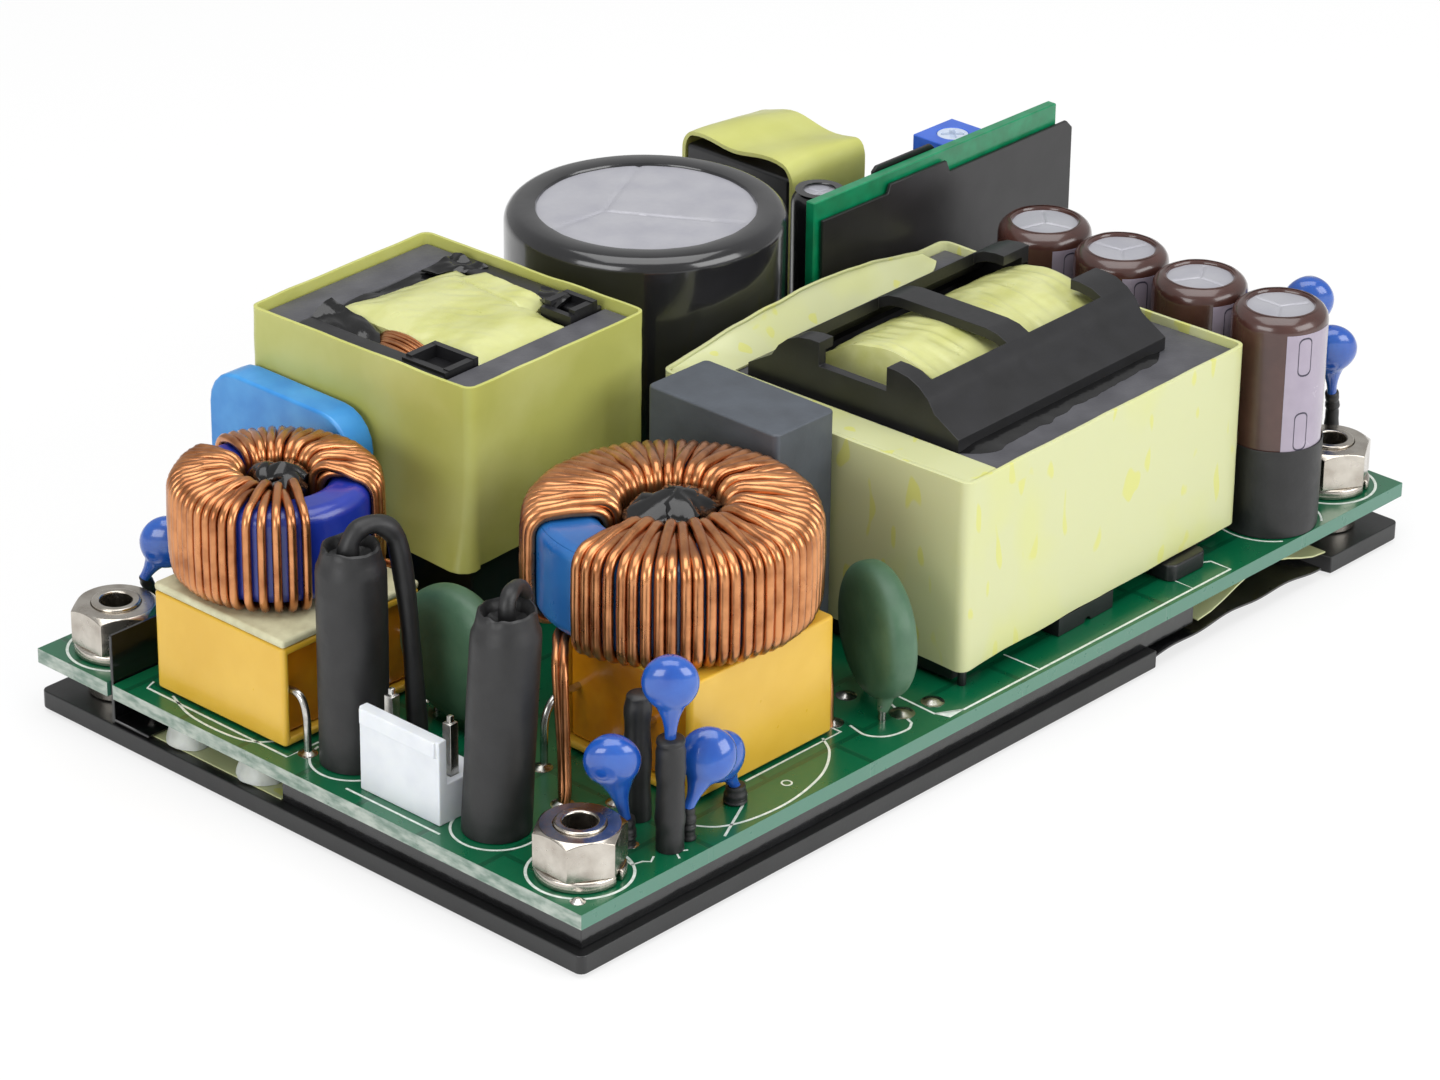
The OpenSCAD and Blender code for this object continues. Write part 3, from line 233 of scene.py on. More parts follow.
board_green.link(board_green.ramp(board_green.clouds(1300, 5.0, (1.0, 0.35, 1.0)), 0.35, 0.65),
                 edge_fibre.inputs[0])
edge_fibre.inputs[6].default_value = paint(96, 122, 108)
edge_fibre.inputs[7].default_value = paint(166, 176, 166)
by_side(board_green, mask_top, paint(62, 116, 96), edge_fibre.outputs[2])
board_green.gloss(0.08, 600).relief(tracks.outputs["Color"], 0.05, 0.35).grain(1400, 0.03, 0.25)

card_green = Finish("card_green", paint(0, 112, 70), 0.35, coat=0.4, coat_rough=0.2)
card_green.mottle(paint(0, 134, 88), 500).gloss(0.1, 600).grain(1400, 0.03, 0.25)

tape_pale = Finish("tape_pale", paint(214, 219, 146), 0.34, coat=0.25, coat_rough=0.22, soft=0.12)
patches = tape_pale.ramp(tape_pale.clouds(95, 2.0, (1.0, 1.0, 0.8)), 0.52, 0.66)
layer = tape_pale.colours(patches, paint(196, 199, 150), paint(198, 201, 138))
blots = tape_pale.ramp(tape_pale.clouds(600, 0.0, (1.0, 1.0, 0.4)), 0.7, 0.74)
tape_pale.colours(blots, layer, paint(200, 201, 116))
tape_pale.gloss(0.1, 260).grain(240, 0.12, 0.3).grain(900, 0.03, 0.2, (1.0, 1.0, 3.0))

tape_olive = Finish("tape_olive", paint(180, 182, 96), 0.36, coat=0.25, coat_rough=0.24, soft=0.1)
tape_olive.mottle(paint(192, 194, 116), 110, 0.4, 0.7)
tape_olive.gloss(0.1, 260).grain(220, 0.15, 0.35).grain(900, 0.03, 0.2, (1.0, 1.0, 3.0))

tape_wrap = Finish("tape_wrap", paint(198, 200, 138), 0.32, coat=0.35, coat_rough=0.16, soft=0.12)
tape_wrap.mottle(paint(182, 184, 108), 260, 0.4, 0.7, 4.0, (0.5, 1.0, 1.0))
tape_wrap.gloss(0.12, 400).grain(420, 0.16, 0.45, (0.35, 1.0, 1.0)).grain(1300, 0.05, 0.3)

sealant_white = Finish("sealant_white", paint(206, 210, 204), 0.4, soft=0.15)
sealant_white.mottle(paint(186, 190, 184), 500).gloss(0.1, 400).grain(700, 0.08, 0.4)

pad_grey = Finish("pad_grey", paint(150, 156, 165), 0.7)
pad_grey.mottle(paint(130, 136, 146), 800).grain(1800, 0.05, 0.5)

mould_black = Finish("mould_black", paint(18, 18, 20), 0.42, coat=0.15, coat_rough=0.3)
mould_black.mottle(paint(26, 26, 29), 300).gloss(0.12, 500).grain(2600, 0.02, 0.4)

case_yellow = Finish("case_yellow", paint(212, 168, 46), 0.32, coat=0.3, coat_rough=0.2, soft=0.06)
case_yellow.mottle(paint(220, 178, 60), 150, 0.4, 0.7).gloss(0.1, 400).grain(2400, 0.015, 0.35)

epoxy_amber = Finish("epoxy_amber", paint(196, 120, 8), 0.22, coat=0.5, coat_rough=0.1, soft=0.2)
epoxy_amber.mottle(paint(214, 142, 20), 220, 0.4, 0.7).gloss(0.08, 300).grain(240, 0.3, 0.4)

pad_pale = Finish("pad_pale", paint(206, 204, 170), 0.6)
pad_pale.mottle(paint(188, 184, 150), 700).grain(1500, 0.06, 0.6)

core_royal = Finish("core_royal", paint(20, 42, 142), 0.32, coat=0.4, coat_rough=0.15)
core_royal.mottle(paint(28, 54, 158), 240).gloss(0.08, 400).grain(500, 0.1, 0.35)

core_blue = Finish("core_blue", paint(26, 92, 160), 0.3, coat=0.4, coat_rough=0.15)
core_blue.mottle(paint(36, 106, 172), 240).gloss(0.08, 400).grain(500, 0.1, 0.35)

gloss_black = Finish("gloss_black", paint(5, 5, 6), 0.2, coat=0.35, coat_rough=0.06, ior=1.4)
gloss_black.mottle(paint(13, 13, 14), 300).gloss(0.06, 400).grain(420, 0.2, 0.35)

sleeve_black = Finish("sleeve_black", paint(17, 17, 18), 0.5, coat=0.12, coat_rough=0.4)
sleeve_black.mottle(paint(26, 26, 27), 420).gloss(0.12, 500).grain(900, 0.08, 0.5)

nylon_white = Finish("nylon_white", paint(222, 226, 230), 0.45, soft=0.12)
nylon_white.mottle(paint(212, 216, 222), 300).gloss(0.08, 500).grain(2200, 0.015, 0.4)

dip_blue = Finish("dip_blue", paint(20, 72, 160), 0.24, coat=0.75, coat_rough=0.07, soft=0.05)
dip_blue.mottle(paint(30, 88, 176), 400).gloss(0.08, 500).grain(700, 0.06, 0.35)

dip_green = Finish("dip_green", paint(58, 92, 68), 0.5, coat=0.1, coat_rough=0.4)
dip_green.mottle(paint(72, 106, 80), 300).gloss(0.12, 500).grain(1400, 0.05, 0.5)

dip_sky = Finish("dip_sky", paint(36, 128, 202), 0.36, coat=0.35, coat_rough=0.2, soft=0.08)
dip_sky.mottle(paint(64, 150, 216), 260).gloss(0.1, 400).grain(1300, 0.04, 0.4)

ferrite = Finish("ferrite", paint(70, 70, 75), 0.5, coat=0.1, coat_rough=0.35)
ferrite.mottle(paint(86, 86, 91), 260).gloss(0.14, 500)
ferrite.grain(2600, 0.05, 0.6).grain(420, 0.05, 0.3)

can_bright = Finish("can_bright", paint(188, 188, 194), 0.58, metal=0.6)
can_bright.mottle(paint(176, 176, 184), 300).gloss(0.08, 600).grain(1500, 0.02, 0.35, (6.0, 1.0, 1.0))

film_charcoal = Finish("film_charcoal", paint(22, 22, 24), 0.2, coat=0.6, coat_rough=0.08)
film_charcoal.mottle(paint(31, 31, 34), 160).gloss(0.06, 300).grain(240, 0.12, 0.3)

film_brown = Finish("film_brown", paint(62, 36, 31), 0.24, coat=0.55, coat_rough=0.1)
film_brown.mottle(paint(74, 45, 39), 300).gloss(0.06, 300).grain(300, 0.08, 0.3)

stripe_mauve = Finish("stripe_mauve", paint(150, 140, 156), 0.26, coat=0.5, coat_rough=0.1)
stripe_mauve.mottle(paint(160, 150, 166), 300).gloss(0.06, 300)

case_grey = Finish("case_grey", paint(66, 71, 78), 0.46, coat=0.1, coat_rough=0.3)
case_grey.mottle(paint(76, 82, 90), 240).gloss(0.1, 400).grain(1900, 0.03, 0.5)

card_dark = Finish("card_dark", paint(20, 19, 20), 0.38, coat=0.2, coat_rough=0.25)
card_dark.mottle(paint(28, 26, 28), 180).gloss(0.1, 300).grain(300, 0.1, 0.3)

trimmer_blue = Finish("trimmer_blue", paint(40, 88, 190), 0.34, coat=0.3, coat_rough=0.2)
trimmer_blue.mottle(paint(52, 100, 204), 500).gloss(0.08, 500).grain(2000, 0.02, 0.35)

dial_white = Finish("dial_white", paint(196, 206, 222), 0.4)
dial_white.mottle(paint(182, 194, 214), 700).grain(2200, 0.02, 0.4)

ink_white = Finish("ink_white", paint(222, 228, 222), 0.6)
ink_white.mottle(paint(186, 200, 190), 1500).grain(3000, 0.01, 0.4)

ink_dark = Finish("ink_dark", paint(50, 46, 62), 0.5)
ink_dark.mottle(paint(62, 58, 74), 1500).grain(3000, 0.01, 0.4)



# ---------------------------------------------------------------- pieces

def settle(obj, finish, replaced=(), body="root"):
    """Gives a piece its finish and its body, and hides the nodes it stands for."""
    obj.data.materials.clear()
    obj.data.materials.append(finish.material)
    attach(obj, body)
    if replaced:
        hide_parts(*replaced)
    return obj


def mesh_object(name, points, faces, crease=40):
    """A mesh from points in millimetres, with its faces looking outwards."""
    mesh = bpy.data.meshes.new(name)
    mesh.from_pydata([Vector(p) * MM for p in points], [], faces)
    work = bmesh.new()
    work.from_mesh(mesh)
    bmesh.ops.recalc_face_normals(work, faces=work.faces)
    work.to_mesh(mesh)
    work.free()
    mesh.shade_smooth()
    mesh.set_sharp_from_angle(angle=math.radians(crease))
    obj = bpy.data.objects.new(name, mesh)
    scene.collection.objects.link(obj)
    return obj


class Shape:
    """Gathers rings, strips and blocks into one mesh."""

    def __init__(self):
        self.points = []
        self.faces = []

    def rings(self, rings, close_ends=True, close_round=False):
        """Skins rings of equal count; the ends are capped unless it closes on itself."""
        start = len(self.points)
        count = len(rings[0])
        for ring in rings:
            self.points.extend(ring)
        spans = len(rings) if close_round else len(rings) - 1
        for k in range(spans):
            a = start + k * count
            b = start + ((k + 1) % len(rings)) * count
            for s in range(count):
                t = (s + 1) % count
                self.faces.append((a + s, a + t, b + t, b + s))
        if close_ends and not close_round:
            self.faces.append(tuple(start + s for s in reversed(range(count))))
            last = start + (len(rings) - 1) * count
            self.faces.append(tuple(last + s for s in range(count)))
        return self

    def revolve(self, profile, x, y, z, steps=64):
        """Turns a profile of radius and height about an upright axis at x, y."""
        rings = []
        for r, h in profile:
            r = max(r, 0.004)
            rings.append([(x + r * math.cos(2 * math.pi * k / steps),
                           y + r * math.sin(2 * math.pi * k / steps), z + h)
                          for k in range(steps)])
        return self.rings(rings)

    def wire(self, path, radius, sides=10, steps=6):
        """A smooth round wire through the points of path."""
        fine = smooth_path(path, steps)
        side = Vector((0.31, 0.87, 0.12))
        rings = []
        for k, point in enumerate(fine):
            ahead = (fine[min(k + 1, len(fine) - 1)] - fine[max(k - 1, 0)]).normalized()
            across = (side - ahead * side.dot(ahead)).normalized()
            other = ahead.cross(across)
            side = across
            r = radius(k / (len(fine) - 1)) if callable(radius) else radius
            rings.append([point + r * (math.cos(2 * math.pi * s / sides) * across
                                       + math.sin(2 * math.pi * s / sides) * other)
                          for s in range(sides)])
        return self.rings(rings)

    def slab(self, outline, low, high):
        """An upright prism over an outline."""
        return self.rings([[(x, y, low) for x, y in outline], [(x, y, high) for x, y in outline]])

    def line(self, path, width, low, high, closed=False):
        """A flat line of ink along a path on the board."""
        count = len(path)
        rings = []
        for k in range(count):
            before = Vector(path[(k - 1) % count] if closed else path[max(k - 1, 0)])
            after = Vector(path[(k + 1) % count] if closed else path[min(k + 1, count - 1)])
            way = (after - before).normalized()
            side = Vector((-way.y, way.x)) * width / 2
            here = Vector(path[k])
            a = here + side
            b = here - side
            rings.append([(a.x, a.y, low), (a.x, a.y, high), (b.x, b.y, high), (b.x, b.y, low)])
        return self.rings(rings, close_round=closed)

    def build(self, name, crease=40):
        return mesh_object(name, self.points, self.faces, crease)


def smooth_path(path, steps):
    """Catmull-Rom curve through the points of path."""
    spots = [Vector(p) for p in path]
    padded = [spots[0] * 2 - spots[1]] + spots + [spots[-1] * 2 - spots[-2]]
    fine = []
    for k in range(1, len(padded) - 2):
        a, b, c, d = padded[k - 1:k + 3]
        for s in range(steps):
            t = s / steps
            fine.append(0.5 * (2 * b + (c - a) * t + (2 * a - 5 * b + 4 * c - d) * t * t
                               + (3 * b - a - 3 * c + d) * t * t * t))
    fine.append(spots[-1])
    return fine


def arc_points(x, y, radius, start, end, steps):
    return [(x + radius * math.cos(math.radians(start + (end - start) * k / steps)),
             y + radius * math.sin(math.radians(start + (end - start) * k / steps)))
            for k in range(steps + 1)]


def evaluated(obj):
    """Bakes an object's modifiers into its own mesh."""
    bpy.context.view_layer.update()
    graph = bpy.context.evaluated_depsgraph_get()
    mesh = bpy.data.meshes.new_from_object(obj.evaluated_get(graph))
    obj.modifiers.clear()
    obj.data = mesh
    return obj


SMOOTH_TURN = 34
FLAT_TURN = 0.6
SAME_POINT = 0.002


def softened(node, finish, width=0.25, segments=2, name=None, body="root", turn=28):
    """A copy of a node with its sharp edges rounded, which stands for it."""
    mesh = frame["nodes"][node].data.copy()
    work = bmesh.new()
    work.from_mesh(mesh)
    bmesh.ops.remove_doubles(work, verts=work.verts, dist=SAME_POINT * MM)
    bmesh.ops.dissolve_limit(work, angle_limit=math.radians(FLAT_TURN), verts=work.verts,
                             edges=work.edges)
    work.to_mesh(mesh)
    work.free()
    obj = bpy.data.objects.new(name or node + "_soft", mesh)
    scene.collection.objects.link(obj)
    bevel = obj.modifiers.new("rounded", "BEVEL")
    bevel.width = width * MM
    bevel.segments = segments
    bevel.limit_method = "ANGLE"
    bevel.angle_limit = math.radians(turn)
    bevel.use_clamp_overlap = True
    evaluated(obj)
    obj.data.shade_smooth()
    obj.data.set_sharp_from_angle(angle=math.radians(SMOOTH_TURN))
    level = obj.modifiers.new("level_faces", "WEIGHTED_NORMAL")
    level.keep_sharp = True
    evaluated(obj)
    return settle(obj, finish, (node,), body)


def wander(x, y, z, size, seed=0.0):
    """Smooth noise from -1 to 1 with features of about size millimetres."""
    return noise.noise(Vector((x / size + seed, y / size - seed, z / size + 2 * seed)))


def plain(names, finish, width, segments=2):
    """Rounded copies of several nodes in one finish."""
    for name in names:
        softened(name, finish, width, segments)


# ---------------------------------------------------------------- base, fixings and board

plain(["base_plate"], plate_black, 0.35)
plain(["standoff_studs"], bright_nickel, 0.22, 3)
plain(["spring_washers", "corner_nuts"], bright_nickel, 0.3, 3)
plain(["insulating_film", "edge_barrier"], film_black, 0.06, 1)
plain(["insulating_tape"], tape_pale, 0.04, 1)
plain(["main_board"], board_green, 0.12)

wave = Shape()
plate_high = box_mm("base_plate")[1]
rings = []
for k in range(41):
    x = OUTPUT_END - 42.0 + 28.4 * k / 40
    z = plate_high.z - 0.75 + 0.5 * math.sin(math.pi * k / 40) + 0.16 * math.sin(0.45 * k)
    rings.append([(x, NEAR + 0.3, z), (x, NEAR + 0.3, z - 0.22), (x, NEAR + 8.0, z - 0.22),
                  (x, NEAR + 8.0, z)])
wave.rings(rings)
settle(wave.build("cutout_film"), film_black)
plain(["thermal_pads"], pad_grey, 0.1)
plain(["power_devices"], mould_black, 0.2)

INK_LOW = DECK + 0.008
INK_HIGH = DECK + 0.03
marks = Shape()


def mark(path, width=0.26, closed=False):
    marks.line([(x, y) for x, y in path], width, INK_LOW, INK_HIGH, closed)


def curved(path, steps=8):
    return [(p.x, p.y) for p in smooth_path([(x, y, 0) for x, y in path], steps)]


stud_high = box_mm("standoff_studs")[1]
HOLE_INSET = 3.2  # from the studs' outermost edge to the middle of a hole
hole_x = stud_high.x - HOLE_INSET
hole_y = stud_high.y - HOLE_INSET
for sx in (-1, 1):
    for sy in (-1, 1):
        mark(arc_points(sx * hole_x, sy * hole_y, 5.1, 0, 360, 72)[:-1], 0.3, True)
mark(curved([(-44.6, -33.4), (-42.6, -36.0), (-39.0, -37.3), (-33.9, -37.5), (-28.3, -36.2),
             (-24.5, -33.8), (-22.8, -31.4)]))
mark([(-34.4, -31.8), (-20.6, -31.8), (-20.6, -13.2)])
mark([(-43.6, -37.6), (-38.2, -34.9), (-36.2, -33.6)])
mark(arc_points(-31.9, -34.9, 0.5, 0, 360, 20)[:-1], 0.18, True)
mark(curved([(-19.0, -31.6), (-19.4, -34.0), (-18.1, -35.7), (-15.7, -36.2), (-14.4, -35.6)]))
mark([(-14.4, -35.6), (-12.2, -29.9)])
mark([(-11.1, -30.5), (-11.4, -36.0), (-8.7, -37.5), (27.9, -37.5), (28.0, -32.2)])
mark([(27.9, -37.5), (34.1, -37.5), (34.1, -34.9), (32.9, -34.2)])
mark([(3.0, -32.8), (3.0, -37.4)], 0.2)
marks.slab([(-11.4, -36.0), (-10.9, -37.6), (-8.7, -37.5)], INK_LOW, INK_HIGH)
mark([(-53.2, -33.6), (-53.6, -35.0), (-52.4, -35.3), (-51.9, -35.9), (-51.0, -35.4)], 0.2)
mark([(-49.6, -37.4), (-48.9, -36.2), (-47.9, -36.9)], 0.2)
mark([(-60.2, 24.3), (-61.5, 23.8), (-61.6, 3.4), (-57.4, 3.4)])
mark(curved([(-60.9, 20.7), (-62.4, 16.5), (-62.6, 11.4), (-61.7, 7.9), (-59.2, 6.0)]))
can_low, can_high = box_mm("output_cans")
for k in range(4):
    y = can_low.y + 4.5 + 10.6 * k
    middle_x = (can_low.x + can_high.x) / 2
    if y - 5.9 < NEAR:
        mark(arc_points(middle_x, y, 5.75, -54, 234, 56), 0.22)
    else:
        mark(arc_points(middle_x, y, 5.75, 0, 360, 64)[:-1], 0.22, True)
sleeve_low, sleeve_high = box_mm("fuse_sleeves")
FUSE_X = sleeve_low.x + 3.45
NEAR_FUSE_Y = NEAR + 17.18
FAR_FUSE_Y = NEAR + 36.53
for y in (NEAR_FUSE_Y, FAR_FUSE_Y):
    mark(arc_points(FUSE_X, y, 4.4, 100, 300, 40))
mark([(-56.6, -26.4), (-55.0, -25.4)], 0.3)
mark([(-57.0, -27.2), (-54.4, -25.6)], 0.3)
head_low = box_mm("header_housings")[0]
mark([(head_low.x - 0.6, -18.0), (head_low.x - 0.6, -5.2)])
bulk_low, bulk_high = box_mm("bulk_sleeve")
bulk_mid = (bulk_low + bulk_high) / 2
mark(arc_points(bulk_mid.x, bulk_mid.y, 15.8, 0, 360, 120)[:-1], 0.26, True)
settle(marks.build("board_marks"), ink_white)

pads = Shape()
for x, y, r in ((MAINS_END + 1.6, NEAR + 2.0, 0.75), (-56.2, -13.9, 0.9), (-58.0, -7.6, 1.0),
                (-58.0, -15.6, 1.0),
                (-46.0, -25.8, 1.1), (-46.0, -15.8, 1.1), (-49.8, -22.3, 1.2), (-19.7, -30.0, 1.1),
                (-13.5, -33.6, 1.3), (-14.6, -27.2, 1.1), (-9.6, -34.2, 1.2), (-41.6, 4.4, 1.1),
                (-59.7, 2.5, 1.0), (-44.1, 2.5, 1.0), (-48.8, -34.9, 0.9), (-50.9, -32.2, 0.9)):
    pads.revolve([(0, 0.0), (r, 0.0), (r, 0.03), (r * 0.72, 0.09), (r * 0.42, 0.34), (0, 0.42)], x, y,
                 DECK + 0.005, 28)
settle(pads.build("solder_pads"), tinned)

beads = Shape()
bead_low, bead_high = box_mm("sealant_beads")
for k, y in enumerate((bead_low.y + 2.1, bead_high.y - 2.1)):
    rings = []
    for step in range(11):
        t = step / 10
        swell = 2.1 * (1 - 0.45 * t) if t < 0.95 else 1.0
        rings.append([(bead_low.x + 2.1 + (swell + 0.25
                                           * wander(math.cos(a) * 3, math.sin(a) * 3, t * 4, 2.0, k))
                       * math.cos(a),
                       y + (swell * 1.25 + 0.3
                            * wander(math.sin(a) * 3, math.cos(a) * 3, t * 4, 2.0, k + 5))
                       * math.sin(a),
                       bead_low.z + t * (bead_high.z - bead_low.z - 0.05))
                      for a in (2 * math.pi * s / 36 for s in range(36))])
    beads.rings(rings)
settle(beads.build("sealant_lumps", 60), sealant_white, ("sealant_beads",))


# ---------------------------------------------------------------- solder joints under the board

def copies_tree():
    """Node tree that sets out copies of a collection's pieces by turning or by stepping."""
    tree = bpy.data.node_groups.new("set_out_copies", "GeometryNodeTree")
    face = tree.interface
    face.new_socket("Geometry", in_out="INPUT", socket_type="NodeSocketGeometry")
    face.new_socket("Geometry", in_out="OUTPUT", socket_type="NodeSocketGeometry")
    sockets = {}
    for label, kind in (("Kinds", "NodeSocketCollection"), ("Count", "NodeSocketInt"),
                        ("Variety", "NodeSocketInt"), ("Start", "NodeSocketFloat"),
                        ("Step", "NodeSocketFloat"),
                        ("Fan From", "NodeSocketInt"), ("Fan", "NodeSocketFloat"),
                        ("Stray", "NodeSocketFloat"),
                        ("Travel", "NodeSocketVector"), ("Seed", "NodeSocketInt"),
                        ("Finish", "NodeSocketMaterial")):
        sockets[label] = face.new_socket(label, in_out="INPUT", socket_type=kind).identifier
    nodes, link = tree.nodes, tree.links.new
    given = nodes.new("NodeGroupInput")
    result = nodes.new("NodeGroupOutput")

    def work_out(operation, *values):
        made = nodes.new("ShaderNodeMath")
        made.operation = operation
        for k, value in enumerate(values):
            if isinstance(value, (int, float)):
                made.inputs[k].default_value = value
            else:
                link(value, made.inputs[k])
        return made.outputs[0]

    points = nodes.new("GeometryNodePoints")
    link(given.outputs["Count"], points.inputs["Count"])
    index = nodes.new("GeometryNodeInputIndex").outputs[0]
    stray = nodes.new("FunctionNodeRandomValue")
    stray.data_type = "FLOAT"
    least = work_out("MULTIPLY", given.outputs["Stray"], -1.0)
    floats = [s for s in stray.inputs if s.type == "VALUE" and s.enabled]
    link(least, floats[0])
    link(given.outputs["Stray"], floats[1])
    link(given.outputs["Seed"], stray.inputs["Seed"])
    loose = [s for s in stray.outputs if s.type == "VALUE" and s.enabled][0]
    even = work_out("ADD", given.outputs["Start"], work_out("MULTIPLY", index, given.outputs["Step"]))
    past = work_out("MAXIMUM", work_out("SUBTRACT", index, given.outputs["Fan From"]), 0.0)
    fanned = work_out("ADD", even, work_out("MULTIPLY", past, given.outputs["Fan"]))
    turn = nodes.new("ShaderNodeCombineXYZ")
    link(work_out("ADD", fanned, loose), turn.inputs["Z"])
    shift = nodes.new("ShaderNodeVectorMath")
    shift.operation = "SCALE"
    link(given.outputs["Travel"], shift.inputs[0])
    link(index, shift.inputs["Scale"])
    put = nodes.new("GeometryNodeSetPosition")
    link(points.outputs[0], put.inputs["Geometry"])
    link(shift.outputs[0], put.inputs["Position"])
    kinds = nodes.new("GeometryNodeCollectionInfo")
    kinds.inputs["Separate Children"].default_value = True
    kinds.inputs["Reset Children"].default_value = True
    link(given.outputs["Kinds"], kinds.inputs["Collection"])
    copy = nodes.new("GeometryNodeInstanceOnPoints")
    copy.inputs["Pick Instance"].default_value = True
    link(put.outputs[0], copy.inputs["Points"])
    link(kinds.outputs[0], copy.inputs["Instance"])
    link(work_out("MODULO", index, given.outputs["Variety"]), copy.inputs["Instance Index"])
    link(turn.outputs[0], copy.inputs["Rotation"])
    real = nodes.new("GeometryNodeRealizeInstances")
    link(copy.outputs[0], real.inputs[0])
    finish = nodes.new("GeometryNodeSetMaterial")
    link(real.outputs[0], finish.inputs["Geometry"])
    link(given.outputs["Finish"], finish.inputs["Material"])
    link(finish.outputs[0], result.inputs[0])
    return tree, sockets


COPIES, COPY_SOCKETS = copies_tree()


def set_out(name, kinds, finish, place, crease=60, **values):
    """One mesh of copies of the given objects, moved to place in millimetres."""
    group = bpy.data.collections.new(name + "_kinds")
    scene.collection.children.link(group)
    for piece in kinds:
        scene.collection.objects.unlink(piece)
        group.objects.link(piece)
    host = bpy.data.objects.new(name, bpy.data.meshes.new(name))
    scene.collection.objects.link(host)
    modifier = host.modifiers.new("copies", "NODES")
    modifier.node_group = COPIES
    settings = {"Kinds": group, "Variety": len(kinds), "Finish": finish.material, "Count": 1,
                "Start": 0.0,
                "Step": 0.0, "Fan From": 1000, "Fan": 0.0, "Stray": 0.0, "Travel": (0.0, 0.0, 0.0),
                "Seed": 1}
    settings.update(values)
    for label, value in settings.items():
        modifier[COPY_SOCKETS[label]] = value
    evaluated(host)
    host.data.transform(Matrix.Translation(Vector(place) * MM))
    host.data.shade_smooth()
    host.data.set_sharp_from_angle(angle=math.radians(crease))
    for piece in list(group.objects):
        bpy.data.objects.remove(piece)
    bpy.data.collections.remove(group)
    return host


joint = Shape().revolve([(0, 0), (0.95, 0), (0.9, -0.2), (0.45, -0.7), (0.3, -1.1), (0, -1.15)], 0, 0,
                        0, 20)
joint_rows = ((-12.0, -35.2, 9, 3.6), (-58.0, 27.2, 5, 4.2), (-36.0, 35.4, 12, 3.2),
              (30.0, -35.2, 7, 3.6),
              (58.0, -20.0, 1, 0.0), (12.0, 35.0, 10, 3.4), (-48.0, -35.6, 6, 3.1))
for k, (x, y, count, pitch) in enumerate(joint_rows):
    row = set_out(f"solder_joints_{k}", [joint.build(f"joint_{k}")], tinned, (x, y, board_low.z + 0.02),
                  Count=count, Travel=(pitch * MM, 0.0, 0.0))
    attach(row, "root")


# ---------------------------------------------------------------- wound chokes

def turn_of_wire(name, hole, outer, height, wire, layer, rise, slant, bulge):
    """One turn round a ring core, as a closed loop that stands out along +X."""
    w = wire / 2
    corner = 1.35 + w
    inner_corner = min(corner, 1.1 + w)
    reach = outer + w + bulge
    depth = hole - w - layer
    top = height + w
    path = []

    def bend(cx, cz, radius, start, steps=5):
        for k in range(steps + 1):
            a = math.radians(start + 90 * k / steps)
            path.append([cx + radius * math.cos(a), cz + radius * math.sin(a)])

    path.append([reach + 0.08, height * 0.5])
    bend(reach - corner, top - corner, corner, 0)
    path.append([(reach - corner + depth + inner_corner) / 2, top + rise * 0.6 + 0.12])
    bend(depth + inner_corner, top + rise - inner_corner, inner_corner, 90)
    path.append([depth, height * 0.5])
    bend(depth + inner_corner, -w + inner_corner, inner_corner, 180)
    path.append([(reach - corner + depth + inner_corner) / 2, -w - 0.02])
    bend(reach - corner, -w + corner, corner, 270)
    count = len(path)
    rings = []
    for k in range(count):
        x, z = path[k]
        before, after = path[k - 1], path[(k + 1) % count]
        way = Vector((after[0] - before[0], 0, after[1] - before[1])).normalized()
        out = Vector((way.z, 0, -way.x))
        share = min(max((reach - x) / (reach - depth), 0.0), 1.0)
        lean = slant * share * share * (3 - 2 * share) if z > height * 0.3 else slant * share
        middle_point = Vector((x, lean, z))
        rings.append([middle_point + w * (math.cos(2 * math.pi * s / 8) * out
                                          + math.sin(2 * math.pi * s / 8) * Vector((0, 1, 0)))
                      for s in range(8)])
    return Shape().rings(rings, close_round=True).build(name, 80)


def winding(node, core_node, hole, wire, turns, start, step, fan_from=1000, fan=0.0, seed=1):
    """Half of a choke's winding as separate turns, every other one in a second layer in the hole."""
    low, high = box_mm(core_node)
    centre = (low + high) / 2
    outer = (high.x - low.x) / 2
    height = high.z - low.z
    kinds = [turn_of_wire(f"{node}_{k}", hole, outer, height, wire, layer, rise, slant, bulge)
             for k, (layer, rise, slant, bulge) in enumerate((
                 (0.0, 0.0, 0.12, 0.0), (wire * 0.86, wire * 0.5, 0.3, 0.04),
                 (0.05, 0.05, -0.08, 0.07), (wire * 0.92, wire * 0.72, 0.42, -0.02)))]
    obj = set_out(node + "_turns", kinds, copper, (centre.x, centre.y, low.z), 80, Count=turns,
                  Start=math.radians(start), Step=math.radians(step), Stray=math.radians(0.35),
                  Seed=seed, **{"Fan From": fan_from, "Fan": math.radians(fan)})
    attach(obj, "root")
    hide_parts(node)
    return obj


SMALL_HOLE = 5.0
SMALL_WIRE = 0.94
LARGE_HOLE = 7.0
LARGE_WIRE = 1.14
winding("small_choke_winding_a", "small_choke_core", SMALL_HOLE, SMALL_WIRE, 24, 80.0, -6.15, seed=3)
winding("small_choke_winding_b", "small_choke_core", SMALL_HOLE, SMALL_WIRE, 24, 101.0, 5.65, 18, 2.6,
        seed=5)
winding("large_choke_winding_a", "large_choke_core", LARGE_HOLE, LARGE_WIRE, 33, 183.4, 4.98, seed=7)
winding("large_choke_winding_b", "large_choke_core", LARGE_HOLE, LARGE_WIRE, 33, 148.8, -4.98, seed=9)
plain(["small_choke_core"], core_royal, 1.1, 4)
plain(["large_choke_core"], core_blue, 1.1, 4)


